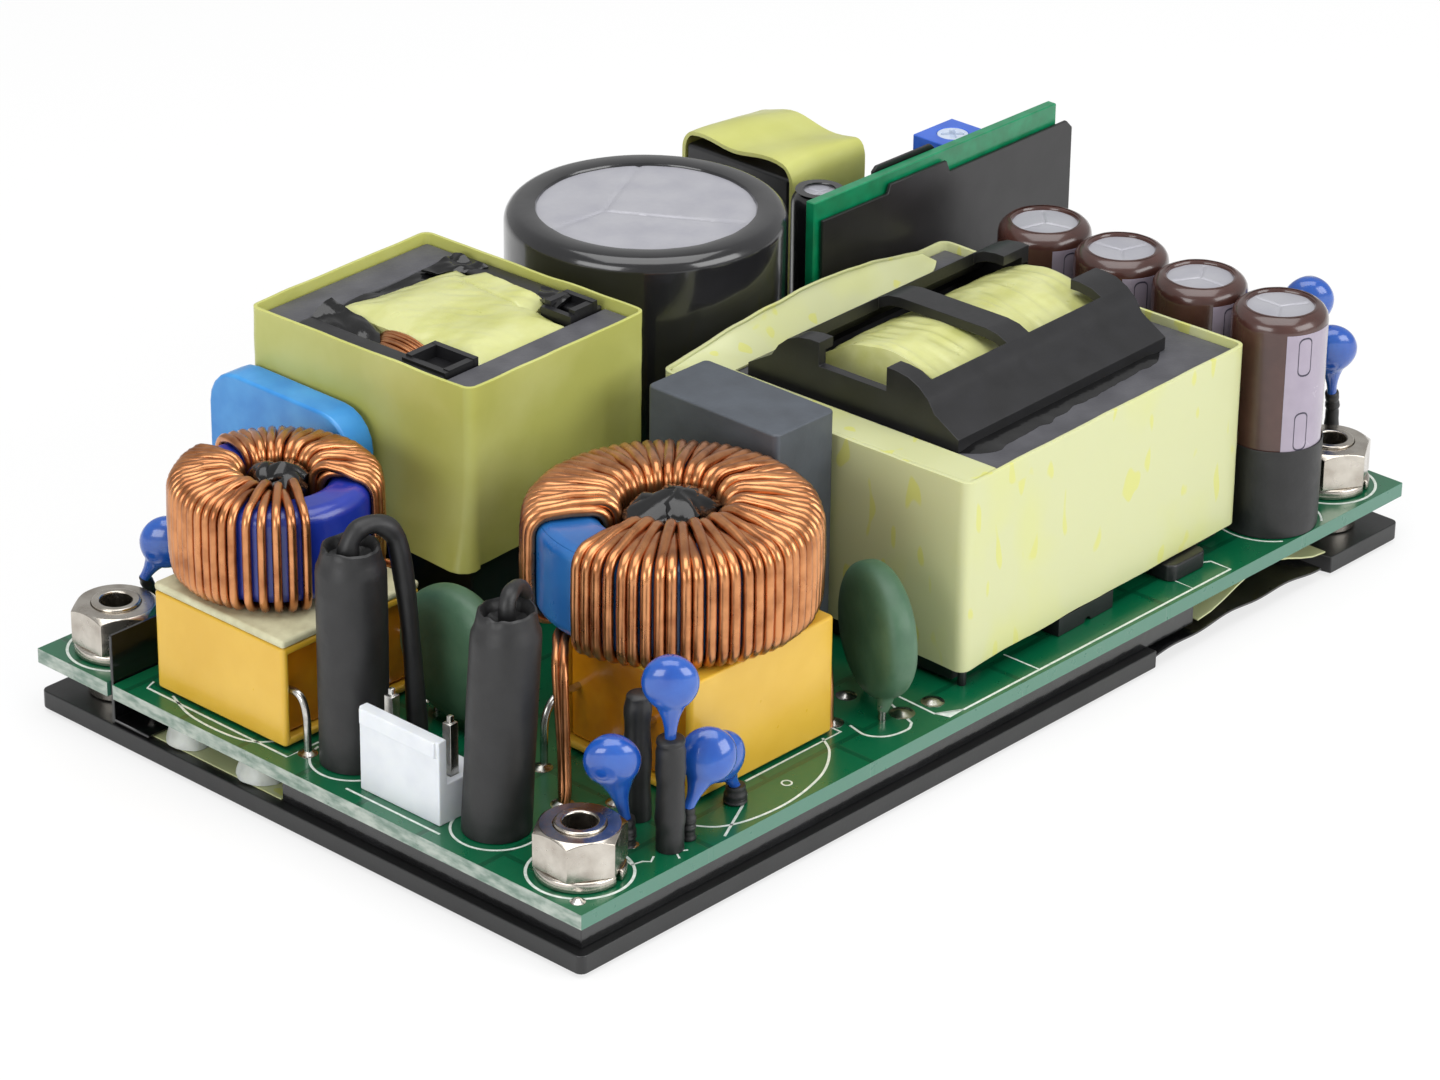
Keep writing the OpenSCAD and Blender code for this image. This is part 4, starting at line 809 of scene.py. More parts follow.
def crumple(shape, x, y, turn, half_length, half_width, low, high, seed, fold=0.5):
    """Adds an upright strip of crumpled film, as a lumpy closed skin."""
    c, s = math.cos(math.radians(turn)), math.sin(math.radians(turn))
    rings = []
    steps, count = 22, 56
    for k in range(steps + 1):
        t = k / steps
        z = low + (high - low) * t
        end = min(t * steps / 2, (1 - t) * steps / 3, 1.0)
        shrink = 0.12 + 0.88 * math.sqrt(max(end, 0.0))
        ring = []
        for j in range(count):
            a = 2 * math.pi * j / count
            ca, sa = math.cos(a), math.sin(a)
            u = half_length * shrink * math.copysign(abs(ca) ** 0.7, ca)
            v = half_width * shrink * math.copysign(abs(sa) ** 0.7, sa)
            sharp = 1 - abs(wander(u, v, z, 1.7, seed)) * 2
            v += fold * wander(u, 0, z, 2.2, seed + 3) + 0.25 * sharp * sa
            u += 0.35 * fold * wander(0, v, z, 1.6, seed + 7)
            rise = fold * 0.9 * wander(u, v, 0, 1.9, seed + 11) * t
            ring.append((x + u * c - v * s, y + u * s + v * c, z + rise))
        rings.append(ring)
    shape.rings(rings)


for node, core_node, turn, reach, width, rise in (("small_choke_divider", "small_choke_core", 90, 3.5,
                                                   1.8, 1.1),
                                                  ("large_choke_divider", "large_choke_core", 166, 5.2,
                                                   2.4, 1.6)):
    low, high = box_mm(core_node)
    centre = (low + high) / 2
    film = Shape()
    crumple(film, centre.x, centre.y, turn, reach, width, low.z - 0.6, high.z + rise - 0.3, 2 + reach,
            0.7)
    crumple(film, centre.x + 0.5, centre.y - 0.7, turn + 62, reach * 0.68, width * 0.7, low.z + 3,
            high.z + rise, 8 + reach, 0.8)
    crumple(film, centre.x - 0.8, centre.y + 0.9, turn - 38, reach * 0.55, width * 0.55, low.z + 3,
            high.z + rise - 0.2, 15 + reach, 0.7)
    settle(film.build(node + "_film", 42), gloss_black, (node,))


# ---------------------------------------------------------------- box capacitors

for name in ("small_cap", "large_cap"):
    plain([name + "_case"], case_yellow, 0.4, 3)
    plain([name + "_epoxy"], epoxy_amber, 0.5, 3)
softened("small_choke_pad", pad_pale, 0.35, 3)

small_low, small_high = box_mm("small_cap_case")
large_low, large_high = box_mm("large_cap_case")
leads = Shape()
for x in (small_low.x + 1.2, small_high.x - 1.6):
    y = small_low.y
    leads.wire([(x, y + 0.9, DECK + 6.1), (x, y - 0.5, DECK + 6.2), (x, y - 1.35, DECK + 5.6),
                (x, y - 1.8, DECK + 4.2), (x, y - 1.9, DECK + 2.2), (x, y - 1.9, DECK + 0.05)], 0.4, 12)
settle(leads.build("small_cap_wires", 80), tinned, ("small_cap_leads",))
leads = Shape()
for y in (large_low.y + 5.6, large_high.y - 2.0):
    x = large_low.x
    leads.wire([(x + 0.9, y, DECK + 7.0), (x - 1.6, y, DECK + 7.1), (x - 3.0, y, DECK + 6.6),
                (x - 3.8, y, DECK + 5.2), (x - 4.0, y, DECK + 3.0), (x - 4.0, y, DECK + 0.05)], 0.4, 12)
settle(leads.build("large_cap_wires", 80), tinned, ("large_cap_leads",))

leads = Shape()
x, y = large_low.x, large_high.y
for shift in (0.0, 1.0):
    leads.wire([(x + 2.0 + shift, y - 0.4, DECK + 13.5), (x - 1.6, y - 1.7 - shift, DECK + 13.6),
                (x - 3.6, y - 3.4 - shift, DECK + 13.1), (x - 4.9, y - 4.6 - shift, DECK + 11.4),
                (x - 6.6, y - 6.9 - shift * 0.6, DECK + 5.0),
                (x - 7.9 + shift * 0.2, y - 8.3 - shift * 0.4, DECK + 1.4),
                (x - 8.1, y - 8.5 - shift * 0.3, DECK + 0.05)], 0.46, 12)
x, y = large_high.x, large_low.y
leads.wire([(x + 1.7, y + 7.4, DECK + 14.0), (x + 1.9, y + 5.4, DECK + 12.8),
            (x + 1.4, y + 3.6, DECK + 11.0),
            (x + 0.95, y + 1.7, DECK + 6.0), (x + 0.9, y + 1.4, DECK + 1.0),
            (x + 0.9, y + 1.4, DECK + 0.05)],
           LARGE_WIRE / 2, 12)
x, y = small_high.x, small_low.y
leads.wire([(x + 0.2, y + 5.0, DECK + 12.0), (x + 0.6, y + 3.6, DECK + 11.7),
            (x + 0.75, y + 2.0, DECK + 10.0),
            (x + 0.9, y + 0.6, DECK + 6.0), (x + 0.9, y, DECK + 1.0), (x + 0.9, y, DECK + 0.05)],
           SMALL_WIRE / 2, 12)
settle(leads.build("choke_wires", 80), copper, ("choke_leads",))


# ---------------------------------------------------------------- fuses and header

def sleeve_tube(shape, x, y, low, height, radius, lean_x=0.0, lean_y=0.0, seed=0):
    """A shrunk sleeve with a drawn-in, ragged mouth."""
    profile = [(radius * 0.6, 0.0), (radius, 0.05), (radius, height * 0.3),
               (radius * 1.01, height * 0.6),
               (radius, height - 2.9), (radius * 0.98, height - 2.2), (radius * 0.9, height - 1.5),
               (radius * 0.86, height - 0.8), (radius * 0.83, height - 0.1),
               (radius * 0.76, height + 0.05),
               (radius * 0.68, height - 0.25), (radius * 0.62, height - 1.1),
               (radius * 0.3, height - 1.4), (0.02, height - 1.45)]
    count = 56
    rings = []
    for k, (r, h) in enumerate(profile):
        ring = []
        for j in range(count):
            a = 2 * math.pi * j / count
            rough = 0.1 * wander(3 * math.cos(a), 3 * math.sin(a), h, 2.6, seed)
            ragged = 0.3 * wander(4 * math.cos(a), 4 * math.sin(a), 0, 1.6,
                                  seed + 2) if 7 <= k <= 11 else 0.0
            rr = r + rough * (1.0 if r > 1 else 0.2)
            ring.append((x + rr * math.cos(a) + lean_x * h, y + rr * math.sin(a) + lean_y * h,
                         low + h + ragged))
        rings.append(ring)
    shape.rings(rings)


fuse_h = sleeve_high.z - DECK - 0.1
sleeves = Shape()
sleeve_tube(sleeves, FUSE_X, FAR_FUSE_Y, DECK + 0.05, fuse_h, 3.43, seed=1)
sleeve_tube(sleeves, FUSE_X, NEAR_FUSE_Y, DECK + 0.05, fuse_h, 3.38, 0.035, -0.035, seed=4)
settle(sleeves.build("fuse_tubes", 50), sleeve_black, ("fuse_sleeves",))

top = DECK + fuse_h
leads = Shape()
leads.wire([(FUSE_X - 0.3, FAR_FUSE_Y + 0.1, top - 1.6), (FUSE_X - 0.1, FAR_FUSE_Y, top + 0.1),
            (FUSE_X + 0.9, FAR_FUSE_Y - 0.2, top + 1.35), (FUSE_X + 2.6, FAR_FUSE_Y - 0.8, top + 1.6),
            (FUSE_X + 4.1, FAR_FUSE_Y - 1.4, top + 0.5), (FUSE_X + 4.7, FAR_FUSE_Y - 1.9, top - 2.0),
            (FUSE_X + 5.2, FAR_FUSE_Y - 2.6, top - 10), (FUSE_X + 5.4, FAR_FUSE_Y - 3.2, DECK + 2.0),
            (FUSE_X + 5.4, FAR_FUSE_Y - 3.2, DECK + 0.05)],
           lambda t: 1.0 + 0.06 * math.sin(31 * t) + 0.05 * math.sin(13 * t + 1), 16)
leads.wire([(FUSE_X + 0.8, NEAR_FUSE_Y - 0.8, top - 1.6), (FUSE_X + 0.85, NEAR_FUSE_Y - 0.8, top + 0.4),
            (FUSE_X + 1.6, NEAR_FUSE_Y - 0.45, top + 1.2),
            (FUSE_X + 3.2, NEAR_FUSE_Y + 0.3, top + 1.15),
            (FUSE_X + 4.8, NEAR_FUSE_Y + 1.0, top - 0.3), (FUSE_X + 5.1, NEAR_FUSE_Y + 1.2, top - 3.0),
            (FUSE_X + 4.7, NEAR_FUSE_Y + 2.3, DECK + 2.4),
            (FUSE_X + 4.6, NEAR_FUSE_Y + 2.4, DECK + 0.05)],
           lambda t: 0.8 + 0.05 * math.sin(27 * t) + 0.04 * math.sin(11 * t), 14)
settle(leads.build("fuse_wires", 70), sleeve_black, ("fuse_leads",))

softened("header_housings", nylon_white, 0.3, 3)
softened("header_pins", tinned, 0.1, 2)


# ---------------------------------------------------------------- dipped capacitors and discs

def drop_body(shape, centre, foot, azimuth, radius=2.75, half_thick=1.62):
    """A dipped disc that narrows to a neck on its way to its foot."""
    centre, foot = Vector(centre), Vector(foot)
    axis = foot.normalized()
    length = foot.length + radius
    face_way = Vector((math.cos(math.radians(azimuth)), math.sin(math.radians(azimuth)), 0))
    face_way = (face_way - axis * axis.dot(face_way)).normalized()
    side = axis.cross(face_way)
    start = centre - axis * radius
    rings = []
    steps = 34
    for k in range(steps + 1):
        t = k / steps
        s = length * (t * t * (3 - 2 * t) * 0.5 + t * 0.5)
        disc = math.sqrt(max(radius * radius - (s - radius) ** 2, 0.0)) if s < 2 * radius else 0.0
        neck_start = radius * 1.25
        neck = 0.0
        if s > neck_start:
            u = min((s - neck_start) / (length - neck_start), 1.0)
            neck = radius * 0.97 * (1 - u) ** 2.3 + 0.5 * (1 - (1 - u) ** 3) + 0.02
        half_width = max(disc, neck, 0.03)
        thick = min(half_thick * (half_width / radius) ** 0.8 + 0.12, half_width)
        thick = max(thick, min(half_width, 0.42))
        if k == 0:
            half_width = thick = 0.02
        ring = []
        for j in range(28):
            a = 2 * math.pi * j / 28
            p = start + axis * s + side * (half_width * math.cos(a)) + face_way * (thick * math.sin(a))
            p += side * 0.09 * wander(p.x, p.y, p.z, 2.5, radius)
            ring.append(p)
        rings.append(ring)
    shape.rings(rings)


drop_places = (
    ((MAINS_END + 14.6, NEAR + 2.7, DECK + 17.6), (0.1, 0.0, -6.0), -137, 2.8),
    ((MAINS_END + 10.5, NEAR + 6.2, DECK + 9.7), (1.8, 0.0, -7.0), -137, 2.0),
    ((MAINS_END + 19.9, NEAR + 2.7, DECK + 7.9), (-2.7, 0.0, -4.7), -137, 1.4),
    ((MAINS_END + 23.3, NEAR + 4.5, DECK + 5.7), (2.2, -0.2, -4.0), -110, 2.2),
    ((MAINS_END + 12.0, FAR - 6.5, DECK + 9.9), (-1.7, 1.7, -4.0), -137, 1.3),
    ((OUTPUT_END - 3.3, NEAR + 11.6, DECK + 18.9), (0.0, 0.3, -6.0), -137, 1.5),
    ((OUTPUT_END - 3.2, NEAR + 8.2, DECK + 14.3), (1.1, 0.4, -5.6), -137, 1.5))
drops = Shape()
sleeves = Shape()
for k, (centre, foot, azimuth, size) in enumerate(drop_places):
    drop_body(drops, centre, foot, azimuth)
    x, y, z = (centre[i] + foot[i] for i in range(3))
    r = size / 2
    if k in (4, 6):
        sx, sy = ((1.4, 0.6), (0.9, 0.4))[k == 6]
        path = [(x, y, z + 0.1), (x + 0.7 * sx, y + 0.7 * sy, z - 1.5), (x + sx, y + sy, z - 3.0),
                (x + sx, y + sy, DECK + 0.05)]
    else:
        path = [(x, y, z + 0.2), (x + 0.03, y, z - 1.2), (x, y, DECK + (z - DECK) * 0.4),
                (x, y, DECK + 0.05)]
    sleeves.wire(path, lambda t, r=r, k=k: r * (1 - 0.16 * math.exp(-14 * t)) + 0.06
                 * math.sin(19 * t + k)
                 + 0.04 * math.sin(43 * t + 2 * k), 22, 8)
x, y = MAINS_END + 16.9, NEAR + 9.0
sleeves.wire([(x, y, DECK + 13.4), (x + 0.05, y, DECK + 12.6), (x, y + 0.05, DECK + 10),
              (x, y, DECK + 5),
              (x, y, DECK + 0.05)], lambda t: 1.3 - 0.75 * math.exp(-11 * t) + 0.07 * math.sin(21 * t),
             22, 8)
settle(drops.build("dipped_capacitors", 80), dip_blue, ("y_capacitors",))
settle(sleeves.build("capacitor_tubes", 60), sleeve_black, ("y_cap_sleeves",))


def disc_part(node, finish_of, turn):
    """A dipped disc on two legs, with a coating that runs a little way down them."""
    low, high = box_mm(node)
    r = 7.0
    half = 2.1
    x, y = (low.x + high.x) / 2, (low.y + high.y) / 2
    z = high.z - r
    c, s = math.cos(math.radians(turn)), math.sin(math.radians(turn))
    shape = Shape()
    rings = []
    steps = 26
    for k in range(steps + 1):
        a = math.pi * k / steps
        depth = -half * math.copysign(abs(math.cos(a)) ** 0.75, math.cos(a))
        radius = max(r * abs(math.sin(a)) ** 0.42, 0.02)
        ring = []
        for j in range(72):
            b = 2 * math.pi * j / 72
            rr = radius * (1 + 0.012 * wander(6 * math.cos(b), 6 * math.sin(b), 0, 3, turn))
            sideways, upright = rr * math.cos(b), rr * math.sin(b)
            ring.append((x + depth * c - sideways * s, y + depth * s + sideways * c, z + upright))
        rings.append(ring)
    shape.rings(rings)
    legs = Shape()
    for side in (-1, 1):
        foot_x = x + side * (0.9 * c - 3.6 * s)
        foot_y = y + side * (0.9 * s + 3.6 * c)
        top_x = x + side * (0.4 * c - 3.3 * s)
        top_y = y + side * (0.4 * s + 3.3 * c)
        shape.wire([(top_x, top_y, z - 4.6), (top_x, top_y, z - 5.8), (foot_x, foot_y, DECK + 0.9)],
                   lambda t: 1.15 - 0.62 * t, 14)
        legs.wire([(foot_x, foot_y, DECK + 1.6), (foot_x, foot_y, DECK + 0.03)], 0.4, 12)
    settle(shape.build(node + "_body", 70), finish_of, (node,))
    settle(legs.build(node + "_legs", 70), tinned)


disc_part("thermistor", dip_green, 0)
disc_part("varistor", dip_green, 155)
softened("film_capacitor", dip_sky, 1.1, 5)
softened("grey_capacitor", case_grey, 0.45, 4)


# ---------------------------------------------------------------- taped transformers

def turned_sides(node, turn):
    """Middle, length and width of a box that stands turned by a small angle."""
    low, high = box_mm(node)
    c, s = math.cos(math.radians(turn)), math.sin(math.radians(turn))
    span_x, span_y = high.x - low.x, high.y - low.y
    length = (span_x * c - span_y * s) / (c * c - s * s)
    width = (span_y * c - span_x * s) / (c * c - s * s)
    return (low + high) / 2, length, width, low.z, high.z


def rounded_outline(length, width, radius, pitch=1.1, bends=5):
    """Points and outward directions round a rectangle with rounded corners."""
    spots = []
    for cx, cy, start in ((1, 1, 0), (-1, 1, 90), (-1, -1, 180), (1, -1, 270)):
        x, y = cx * (length / 2 - radius), cy * (width / 2 - radius)
        for k in range(bends + 1):
            a = math.radians(start + 90 * k / bends)
            spots.append((x + radius * math.cos(a), y + radius * math.sin(a), math.cos(a), math.sin(a)))
        run = (width if start in (90, 270) else length) - 2 * radius
        if start in (0, 180):
            step_x, step_y, run = -cx * 1.0, 0.0, length - 2 * radius
        else:
            step_x, step_y, run = 0.0, -cy * 1.0, width - 2 * radius
        count = int(run / pitch)
        px, py, nx, ny = spots[-1]
        for k in range(1, count):
            spots.append((px + step_x * run * k / count, py + step_y * run * k / count, nx, ny))
    return spots


def tape_band(name, node, finish, turn, thick, top_of, push, radius=1.2, low_of=None):
    """A loop of tape, pushed in and out a little, with a top edge that can rise and fall."""
    middle_point, length, width, low, high = turned_sides(node, turn)
    c, s = math.cos(math.radians(turn)), math.sin(math.radians(turn))
    outline = rounded_outline(length, width, radius)
    steps = 18
    rings = []

    def ring_at(share, inset, lift):
        ring = []
        for x, y, nx, ny in outline:
            bottom = low + (low_of(x, y, length, width) if low_of else 0.0)
            z = bottom + (top_of(x, y, length, width) - bottom) * share + lift
            out = push(x, y, nx, ny, share, length, width) - inset
            px, py = x + nx * out, y + ny * out
            ring.append((middle_point.x + px * c - py * s, middle_point.y + px * s + py * c, z))
        return ring
    for k in range(steps + 1):
        rings.append(ring_at(k / steps, 0.0, 0.0))
    rings.append(ring_at(1.0, thick * 0.3, 0.06))
    rings.append(ring_at(1.0, thick * 0.85, 0.02))
    rings.append(ring_at(0.97, thick, 0.0))
    for share in (0.75, 0.5, 0.25, 0.03):
        rings.append(ring_at(share, thick, 0.0))
    rings.append(ring_at(0.0, thick * 0.8, 0.0))
    return settle(Shape().rings(rings, close_round=True).build(name, 55), finish,
                  (node,))


boost_turn = 2.0
boost_mid, boost_l, boost_w, _, boost_top = turned_sides("boost_tape", boost_turn)


def boost_push(x, y, nx, ny, share, length, width):
    out = 0.14 * wander(x, y, share * 9, 6.5, 1.0) + 0.05 * wander(x, y, share * 30, 2.4, 4.0)
    flare = max(0.0, 1 - share / 0.5) ** 2
    return out + flare * 2.0 * max(0.0, -nx) * max(0.0, 0.5 - y / width) ** 1.3


tape_band("boost_band", "boost_tape", tape_olive, boost_turn, 0.45,
          lambda x, y, length, width: boost_top - 0.05 + 0.12 * wander(x, y, 0, 5, 2), boost_push)
softened("boost_core", ferrite, 0.35, 3)
softened("boost_bobbin", mould_black, 0.3, 2)


def to_boost(x, y, z):
    c, s = math.cos(math.radians(boost_turn)), math.sin(math.radians(boost_turn))
    return (boost_mid.x + x * c - y * s, boost_mid.y + x * s + y * c, z)


coil_low, coil_high = box_mm("boost_coil")
half_x = (boost_l - 1.4) / 2 - 3.5
half_y = (boost_w - 1.4) / 2 - 4.8
wrap = Shape()
rings = []
steps = 54
for k in range(steps + 1):
    t = k / steps
    x = -half_x + 2 * half_x * t
    ring = []
    for j in range(90):
        a = 2 * math.pi * j / 90
        ca, sa = math.cos(a), math.sin(a)
        y = half_y * math.copysign(abs(ca) ** 0.34, ca)
        height = (coil_high.z - coil_low.z) / 2 - 0.5
        z = (coil_low.z + coil_high.z) / 2 + height * math.copysign(abs(sa) ** 0.3, sa)
        if sa > 0.3:
            z -= 1.1 + 0.3 * wander(x, y, 0, 3, 5)
        ring.append(to_boost(x, y * (1 - 0.02 * abs(wander(x, z, 0, 3, 2))), z))
    rings.append(ring)
wrap.rings(rings)
settle(wrap.build("boost_wrap", 32), film_black, ("boost_coil",))

strands = Shape()
for k in range(13):
    share = k / 12
    x, dip = -9.9 + 3.7 * share, 0.5 * (1 - share)
    strands.wire([to_boost(x - 0.2, -5.6 + 1.6 * share, boost_top - 2.6 - dip),
                  to_boost(x - 0.1, -4.4 + 1.4 * share, boost_top - 1.6 - dip),
                  to_boost(x, -1.6 + 1.2 * share, boost_top - 1.1 - dip + 0.12 * math.sin(2.3 * k)),
                  to_boost(x + 0.1, 1.0 + 1.6 * share, boost_top - 1.4 - dip),
                  to_boost(x + 0.2, 2.4 + 1.4 * share, boost_top - 2.6 - dip)], 0.17, 8)
settle(strands.build("boost_strands", 80), copper)


def sheet_over(shape, place, thick=0.25, steps=16):
    """A thin closed sheet whose upper face is place(u, v)."""
    upper = [Vector(place(i / steps, j / steps)) for i in range(steps + 1) for j in range(steps + 1)]
    lower = [p - Vector((0, 0, thick)) for p in upper]
    start = len(shape.points)
    shape.points.extend(upper + lower)
    n = steps + 1
    half = n * n
    for i in range(steps):
        for j in range(steps):
            k = start + i * n + j
            shape.faces.append((k, k + 1, k + n + 1, k + n))
            shape.faces.append((k + half, k + half + n, k + half + n + 1, k + half + 1))
    rim = ([(0, j) for j in range(steps)] + [(i, steps) for i in range(steps)]
           + [(steps, j) for j in range(steps, 0, -1)] + [(i, 0) for i in range(steps, 0, -1)])
    for k, (i, j) in enumerate(rim):
        i2, j2 = rim[(k + 1) % len(rim)]
        p, q = start + i * n + j, start + i2 * n + j2
        shape.faces.append((p, p + half, q + half, q))


def draped(shape, spots, relief, thick=0.25, steps=16):
    """A sheet over four corners, lifted by relief(u, v, x, y)."""
    a, b, c, d = (Vector(p) for p in spots)

    def place(u, v):
        p = a * (1 - u) * (1 - v) + b * u * (1 - v) + c * u * v + d * (1 - u) * v
        p.z += relief(u, v, p.x, p.y)
        return p
    sheet_over(shape, place, thick, steps)


frames = Shape()


def bar(shape, x0, x1, y0, y1, z0, z1):
    """An upright block in the input choke's own directions."""
    shape.rings([[to_boost(x0, y0, z), to_boost(x1, y0, z), to_boost(x1, y1, z), to_boost(x0, y1, z)]
                 for z in (z0, z1)])


zt = boost_top - 0.4
for x0, x1, y0, y1, rim in ((-11.0, -6.2, -10.1, -4.2, 0.1), (7.4, 11.4, -10.1, -6.0, 0.5)):
    bar(frames, x0, x1, y0, y1, zt - 3.2, zt - 1.2)
    bar(frames, x0, x0 + 0.7, y0, y1, zt - 2.0, zt - 0.1)
    bar(frames, x1 - 0.7, x1, y0, y1, zt - 2.0, zt + rim)
    bar(frames, x0 + 0.6, x1 - 0.6, y0, y0 + 0.8, zt - 2.0, zt + rim - 0.1)
    bar(frames, x0 + 0.6, x1 - 0.6, y1 - 0.8, y1, zt - 2.0, zt + rim)
settle(frames.build("boost_frames"), mould_black)


def cover_relief(u, v, x, y):
    edge = min(u, 1 - u, v, 1 - v)
    pull = abs(wander(x + y, (x - y) * 0.25, 0, 1.6, 4.0))
    return 1.15 * (1 - (1 - min(edge * 4, 1.0)) ** 2) - 0.28 * pull * min(edge * 8 + 0.4,
                                                                          1.0) + 0.25 * wander(x, y, 0,
                                                                                               5, 9)


cover = Shape()
draped(cover, (to_boost(-6.3, 9.4, zt - 0.5), to_boost(9.3, 7.6, zt - 0.7),
               to_boost(6.6, -10.2, zt - 0.9), to_boost(-6.0, -10.2, zt - 1.1)), cover_relief, 1.2, 40)
draped(cover, (to_boost(6.0, 7.4, zt - 0.9), to_boost(10.4, 4.8, zt - 0.8),
               to_boost(9.6, -4.6, zt - 0.9), to_boost(5.4, -6.0, zt - 0.9)), cover_relief, 1.0, 24)
settle(cover.build("boost_cover", 34), tape_wrap)

scraps = Shape()


def creased(seed, height):
    """A relief of sharp folds, with finer ones on top."""
    def relief(u, v, x, y):
        return height * abs(wander(x, y, 0, 3.2, seed)) + 0.25 * abs(wander(x, y, 0, 1.3, seed + 3))
    return relief


draped(scraps, (to_boost(-6.4, 10.1, zt + 0.5), to_boost(-11.4, 10.0, zt - 1.5),
                to_boost(-11.2, -1.6, zt - 2.0), to_boost(-6.4, 3.4, zt - 1.0)), creased(2.0, 0.75))
draped(scraps, (to_boost(6.6, 10.0, zt - 0.9), to_boost(11.4, 10.0, zt - 0.4),
                to_boost(11.4, 5.0, zt - 0.6), to_boost(8.6, 6.8, zt - 0.8)), creased(6.0, 1.6))
draped(scraps, (to_boost(9.4, -3.6, zt - 0.7), to_boost(11.4, -2.4, zt - 0.3),
                to_boost(11.4, -7.2, zt + 0.1), to_boost(7.9, -7.4, zt - 0.3)), creased(11.0, 1.2))
draped(scraps, (to_boost(-6.4, 10.2, zt - 1.0), to_boost(9.0, 10.2, zt - 1.2),
                to_boost(9.0, 7.0, zt - 1.4), to_boost(-6.2, 8.6, zt - 1.3)), creased(15.0, 0.8))
settle(scraps.build("boost_film", 38), gloss_black)

main_turn = 1.5
core_top = turned_sides("main_core", main_turn)[4]
main_rim = box_mm("main_pad")[1].z + 0.1
softened("main_core", ferrite, 0.4, 3)
softened("main_bobbin", mould_black, 0.45, 4)
softened("main_pad", tape_pale, 0.3, 2)
softened("main_pins", mould_black, 0.12, 2)


glue = Shape()
bobbin_box = box_mm("main_bobbin")
rings = []
for k in range(61):
    t = k / 60
    x = bobbin_box[0].x + 0.6 + (bobbin_box[1].x - bobbin_box[0].x - 1.0) * t
    y = bobbin_box[0].y + 0.55 + (x - bobbin_box[0].x) * math.tan(math.radians(main_turn))
    spread = 3.0 - 1.2 * t + 0.7 * wander(x, 0, 0, 5, 3) + 0.5 * wander(x, 0, 0, 1.6, 8)
    taper = min(1.0, 12 * t + 0.1, 12 * (1 - t) + 0.1)
    rings.append([(x, y + 0.6, core_top - 0.02), (x, y + 0.6, core_top + 0.7 * taper),
                  (x, y - 0.1, core_top + 0.45 * taper),
                  (x, y - spread * 0.6 * taper, core_top + 0.2 * taper),
                  (x, y - spread * taper, core_top + 0.02), (x, y - spread * taper, core_top - 0.04)])
glue.rings(rings)
settle(glue.build("bobbin_glue", 60), gloss_black)


def main_top_edge(x, y, length, width):
    z = main_rim + 0.08 * wander(x, y, 0, 6, 2)
    if y > width / 2 - 1.4:
        along = (x + length / 2 - 1.4) / 40
        if 0 < along < 1:
            z += 3.0 * math.sin(math.pi * along) + 0.35 * wander(x, 0, 0, 4,
                                                                 7) * math.sin(math.pi * along)
    return z


def main_push(x, y, nx, ny, share, length, width):
    out = 0.1 * wander(x, y, share * 10, 8, 2.0) + 0.035 * wander(x, y, share * 40, 2.2, 6.0)
    if ny > 0.5:
        along = (x + length / 2 - 1.4) / 40
        if 0 < along < 1 and share > 0.8:
            out -= 1.5 * math.sin(math.pi * along) * ((share - 0.8) / 0.2) ** 1.5
    if nx < -0.5:
        out += 0.25 * math.sin(math.pi * share) ** 2 * (0.6 + 0.4 * math.sin(y / 4))
    return out


def main_low_edge(x, y, length, width):
    corner = max(0.0, 1 - math.hypot(x + length / 2, y + width / 2) / 7.0)
    return 0.25 * wander(x, y, 0, 7, 3) - 0.35 * corner




main_mid, main_l, main_w = turned_sides("main_tape", main_turn)[:3]


tape_band("main_band", "main_tape", tape_pale, main_turn, 0.5, main_top_edge, main_push, 1.2,
          main_low_edge)


def to_main(x, y, z):
    c, s = math.cos(math.radians(main_turn)), math.sin(math.radians(main_turn))
    return (main_mid.x + x * c - y * s, main_mid.y + x * s + y * c, z)


def far_fold(u, v):
    swell = math.sin(math.pi * min(max(u, 0.0), 1.0))
    x = -main_l / 2 + 1.2 + 40.4 * u
    outer = main_w / 2 - 0.45 - 1.35 * swell
    inner = main_w / 2 - 1.6 - 3.4 * min(1.0, 1 - (1 - min(1.0, 5 * (1 - u) + 0.12)) ** 2, 6 * u + 0.5)
    y = outer + (inner - outer) * v
    top = main_top_edge(x, main_w / 2, main_l, main_w) - 0.25
    rest = core_top + 0.3
    z = top + (rest - top) * (v ** 0.8) + 0.16 * wander(x, y, 0, 2.6, 4) * math.sin(math.pi * v)
    return to_main(x, y, z)


fold = Shape()
sheet_over(fold, far_fold, 0.22, 40)
settle(fold.build("main_fold", 40), tape_pale)

main_coil_low, main_coil_high = box_mm("main_coil")
coil_mid = (main_coil_low + main_coil_high) / 2
coil_r = (main_coil_high.z - main_coil_low.z) / 2
coil_x0 = main_coil_low.x - main_mid.x + 0.6
coil_x1 = main_coil_high.x - main_mid.x - 0.6
wrap = Shape()
rings = []
steps = 84
for k in range(steps + 1):
    x = coil_x0 + (coil_x1 - coil_x0) * k / steps
    ring = []
    for j in range(150):
        a = 2 * math.pi * j / 150
        # creases run round the coil and meet at a slant
        slant = a * coil_r + x * 0.25
        ridge = abs(wander(slant * 0.22, x, 0, 1.4, 1.0))
        r = coil_r + 0.12 - 0.4 * ridge + 0.14 * wander(slant, x, 0, 3.0, 5.0)
        window = math.sin((x - coil_x0) / 15.6 * math.pi * 1.0)
        r += 0.28 * abs(window) * max(0.0, math.sin(a))
        if k in (0, steps):
            r -= 0.8
        ring.append(to_main(x, r * math.cos(a), coil_mid.z + r * math.sin(a)))
    rings.append(ring)
wrap.rings(rings)
settle(wrap.build("main_wrap", 34), tape_wrap, ("main_coil",))


# ---------------------------------------------------------------- capacitor cans

